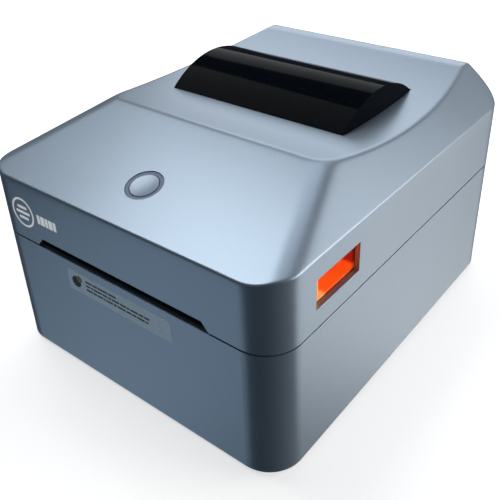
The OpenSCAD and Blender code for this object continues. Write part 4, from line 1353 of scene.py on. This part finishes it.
@dataclass
class Finishes:
    """Every finish of the printer, made once and handed to the sub-assemblies."""

    casing: Casing
    made: dict[str, Material] = field(default_factory=dict)

    def __post_init__(self) -> None:
        """Builds the finishes, most of them named after the record's material slots."""
        recipes = [
            PearlPlastic("shell", (0.33, 0.42, 0.52), (0.62, 0.68, 0.75)),
            MouldedPlastic("dark_plastic", (0.035, 0.037, 0.042), 0.5),
            MouldedPlastic("bay_plastic", (0.075, 0.085, 0.10), 0.52, 0.0008, 0.00002),
            SmokedPlastic("window", (0.003, 0.005, 0.008)),
            # lever: orange, with a pale painted highlight, deep red painted shade and a painted glow
            PaintedLightPlastic("lever", (1.0, 0.12, 0.010), (0.30, 0.008, 0.006), (1.0, 0.42, 0.13),
                        self.casing.parting + 11.4 * MM, self.casing.front + 38.0 * MM,
                        self.casing.front + 27.7 * MM),
            PearlPlastic("button", (0.25, 0.32, 0.40), (0.50, 0.56, 0.63)),
            MouldedPlastic("ring", (0.17, 0.25, 0.42), 0.45, 0.0005, 0.000006),
            Rubber("rubber", (0.02, 0.02, 0.022)),
            Metal("steel", (0.56, 0.57, 0.58)),
            Metal("aluminium", (0.74, 0.75, 0.76), 0.38, Brush.ALONG_X, 0.0006),
            MouldedPlastic("gear_plastic", (0.72, 0.69, 0.60), 0.42),
            Metal("brass", (0.78, 0.57, 0.25), 0.28, Brush.NONE),
            CircuitBoard("board", (0.012, 0.13, 0.055)),
            MouldedPlastic("ceramic", (0.66, 0.62, 0.53), 0.2, 0.002, 0.000002, 0.03),
            # film with a painted glow
            Film("film", (0.66, 0.82, 0.92), 0.5),
            # white ink with a painted glow
            Ink("white_ink", (0.90, 0.92, 0.93), 0.5, 0.45),
            Ink("dark_ink", (0.045, 0.05, 0.055)),
            Ink("green_ink", (0.42, 0.50, 0.12)),
        ]
        for recipe in recipes:
            self.made[recipe.name] = recipe.build()

    def __getitem__(self, name: str) -> Material:
        """The finish with this name."""
        return self.made[name]

    def dress(self, frame: dict) -> None:
        """Gives each piece of the frame its slot's finish.
        """
        for row in frame["record"]["subparts"]:
            node = frame["nodes"].get(row["node"])
            if node is None or not node.data:
                continue
            node.data.materials.clear()
            node.data.materials.append(self.made[row["material_slot"]])
            for face in node.data.polygons:
                face.material_index = 0
            log.info("%s dressed as %s", row["node"], row["material_slot"])


# ---------------------------------------------------------------- studio

@dataclass
class Studio:
    """Floor, lights, camera and colour management."""

    casing: Casing
    camera_place: Point = (209.64 * MM, -159.32 * MM, 264.77 * MM)
    azimuth: float = 39.76
    elevation: float = 30.73
    roll: float = -2.48
    focal: float = 51.33
    shift: Pair = (0.0114, -0.1026)
    aim: Point = (0.0, 0.0, 80.0 * MM)
    sky: Colour = (0.72, 0.86, 1.0)
    sky_strength: float = 0.07
    floor_glow: float = 0.72
    panels: tuple[tuple[str, Point, Pair, float, Colour], ...] = (
        ("key_panel", (-0.66, 0.02, 1.34), (0.80, 0.80), 7.9, (1.0, 0.985, 0.97)),
        ("rear_panel", (-0.55, 1.25, 0.72), (1.2, 0.60), 4.3, (0.97, 0.98, 1.0)),
        ("top_panel", (-0.12, 0.55, 1.25), (0.6, 0.6), 1.8, (0.92, 0.96, 1.0)),
        ("slope_panel", (0.75, 1.00, 0.95), (0.5, 0.5), 2.2, (1.0, 0.95, 0.91)),
        ("side_panel", (1.25, 0.80, 0.30), (1.0, 0.9), 12.2, (1.0, 0.94, 0.89)),
        ("side_bounce", (0.80, 0.90, -0.60), (0.9, 0.9), 3.2, (1.0, 0.96, 0.91)),
        ("front_bounce", (-0.85, -0.95, -0.95), (0.9, 0.9), 1.6, (0.70, 0.86, 1.0)),
    )

    def camera(self) -> None:
        """Adds the camera, placed from the casing's front face."""
        data = bpy.data.cameras.new("camera")
        data.lens = self.focal
        data.sensor_width = 36.0
        data.clip_start = 0.01
        data.shift_x, data.shift_y = self.shift
        made = Build.show("camera", data)
        az, el, roll = (math.radians(v) for v in (self.azimuth, self.elevation, self.roll))
        back = Vector((math.sin(az) * math.cos(el), -math.cos(az) * math.cos(el), math.sin(el)))
        right = Vector((0, 0, 1)).cross(back).normalized()
        up = back.cross(right)
        tilted = right * math.cos(roll) + up * math.sin(roll)
        upward = up * math.cos(roll) - right * math.sin(roll)
        turn = Matrix((tilted, upward, back)).transposed().to_4x4()
        x, y, z = self.camera_place
        made.matrix_world = Matrix.Translation((x, self.casing.front + y, z)) @ turn
        bpy.context.scene.camera = made

    def floor(self) -> None:
        """Adds the plain pale floor, which sweeps up far from the object."""
        graph = Graph("pale_floor")
        clouds = graph.noise(0.4, 3.0)
        tone = graph.mix(clouds, (0.86, 0.865, 0.87), (0.89, 0.89, 0.89))
        material = graph.surface(Base_Color=tone, Roughness=0.75 + clouds * 0.1, Emission_Color=tone,
                                 Emission_Strength=self.floor_glow)
        sweep = [(0.0, 0.0), (4.5, 0.0), (5.5, 0.15), (6.3, 0.6), (6.8, 1.4), (7.0, 2.4), (7.0, 8.0)]
        data = bpy.data.meshes.new("floor")
        made = Build.lathe(sweep, 96)
        made.to_mesh(data)
        made.free()
        floor = Build.show("floor", data)
        data.materials.append(material)
        data.shade_smooth()
        floor.visible_diffuse = False
        floor.visible_glossy = False
        floor.visible_shadow = False

    def light(self, name: str, place: Point, size: Pair, power: float, colour: Colour) -> None:
        """Adds one area light that points at the object.

        Args:
            name: its name.
            place: where it stands.
            size: width and height of its panel.
            power: watts.
            colour: its colour.
        """
        data = bpy.data.lights.new(name, "AREA")
        data.shape = "RECTANGLE"
        data.size, data.size_y = size
        data.energy = power
        data.color = colour
        made = Build.show(name, data)
        made.location = place
        made.visible_camera = False
        made.rotation_euler = (Vector(self.aim) - Vector(place)).to_track_quat("-Z", "Y").to_euler()

    def build(self) -> None:
        """Sets up everything round the object."""
        self.camera()
        self.floor()
        for panel in self.panels:
            self.light(*panel)
        world = bpy.data.worlds.new("studio")
        world.use_nodes = True
        background = world.node_tree.nodes["Background"]
        background.inputs["Color"].default_value = (*self.sky, 1.0)
        background.inputs["Strength"].default_value = self.sky_strength
        bpy.context.scene.world = world
        bpy.context.scene.view_settings.view_transform = "Standard"


# ---------------------------------------------------------------- order of work


def main() -> None:
    """Builds every sub-assembly and the studio."""
    logging.basicConfig(level=logging.INFO, format="%(message)s")
    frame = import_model()
    casing = Casing.from_frame()
    finishes = Finishes(casing)
    finishes.dress(frame)
    Lid(casing).build(finishes["shell"])
    Fasteners(casing).build(finishes["dark_plastic"])
    Fittings(casing).build(finishes)
    FrontPrints(casing).build(finishes["white_ink"], finishes["dark_ink"], finishes["green_ink"])
    Studio(casing).build()


if __name__ == "__main__":
    main()
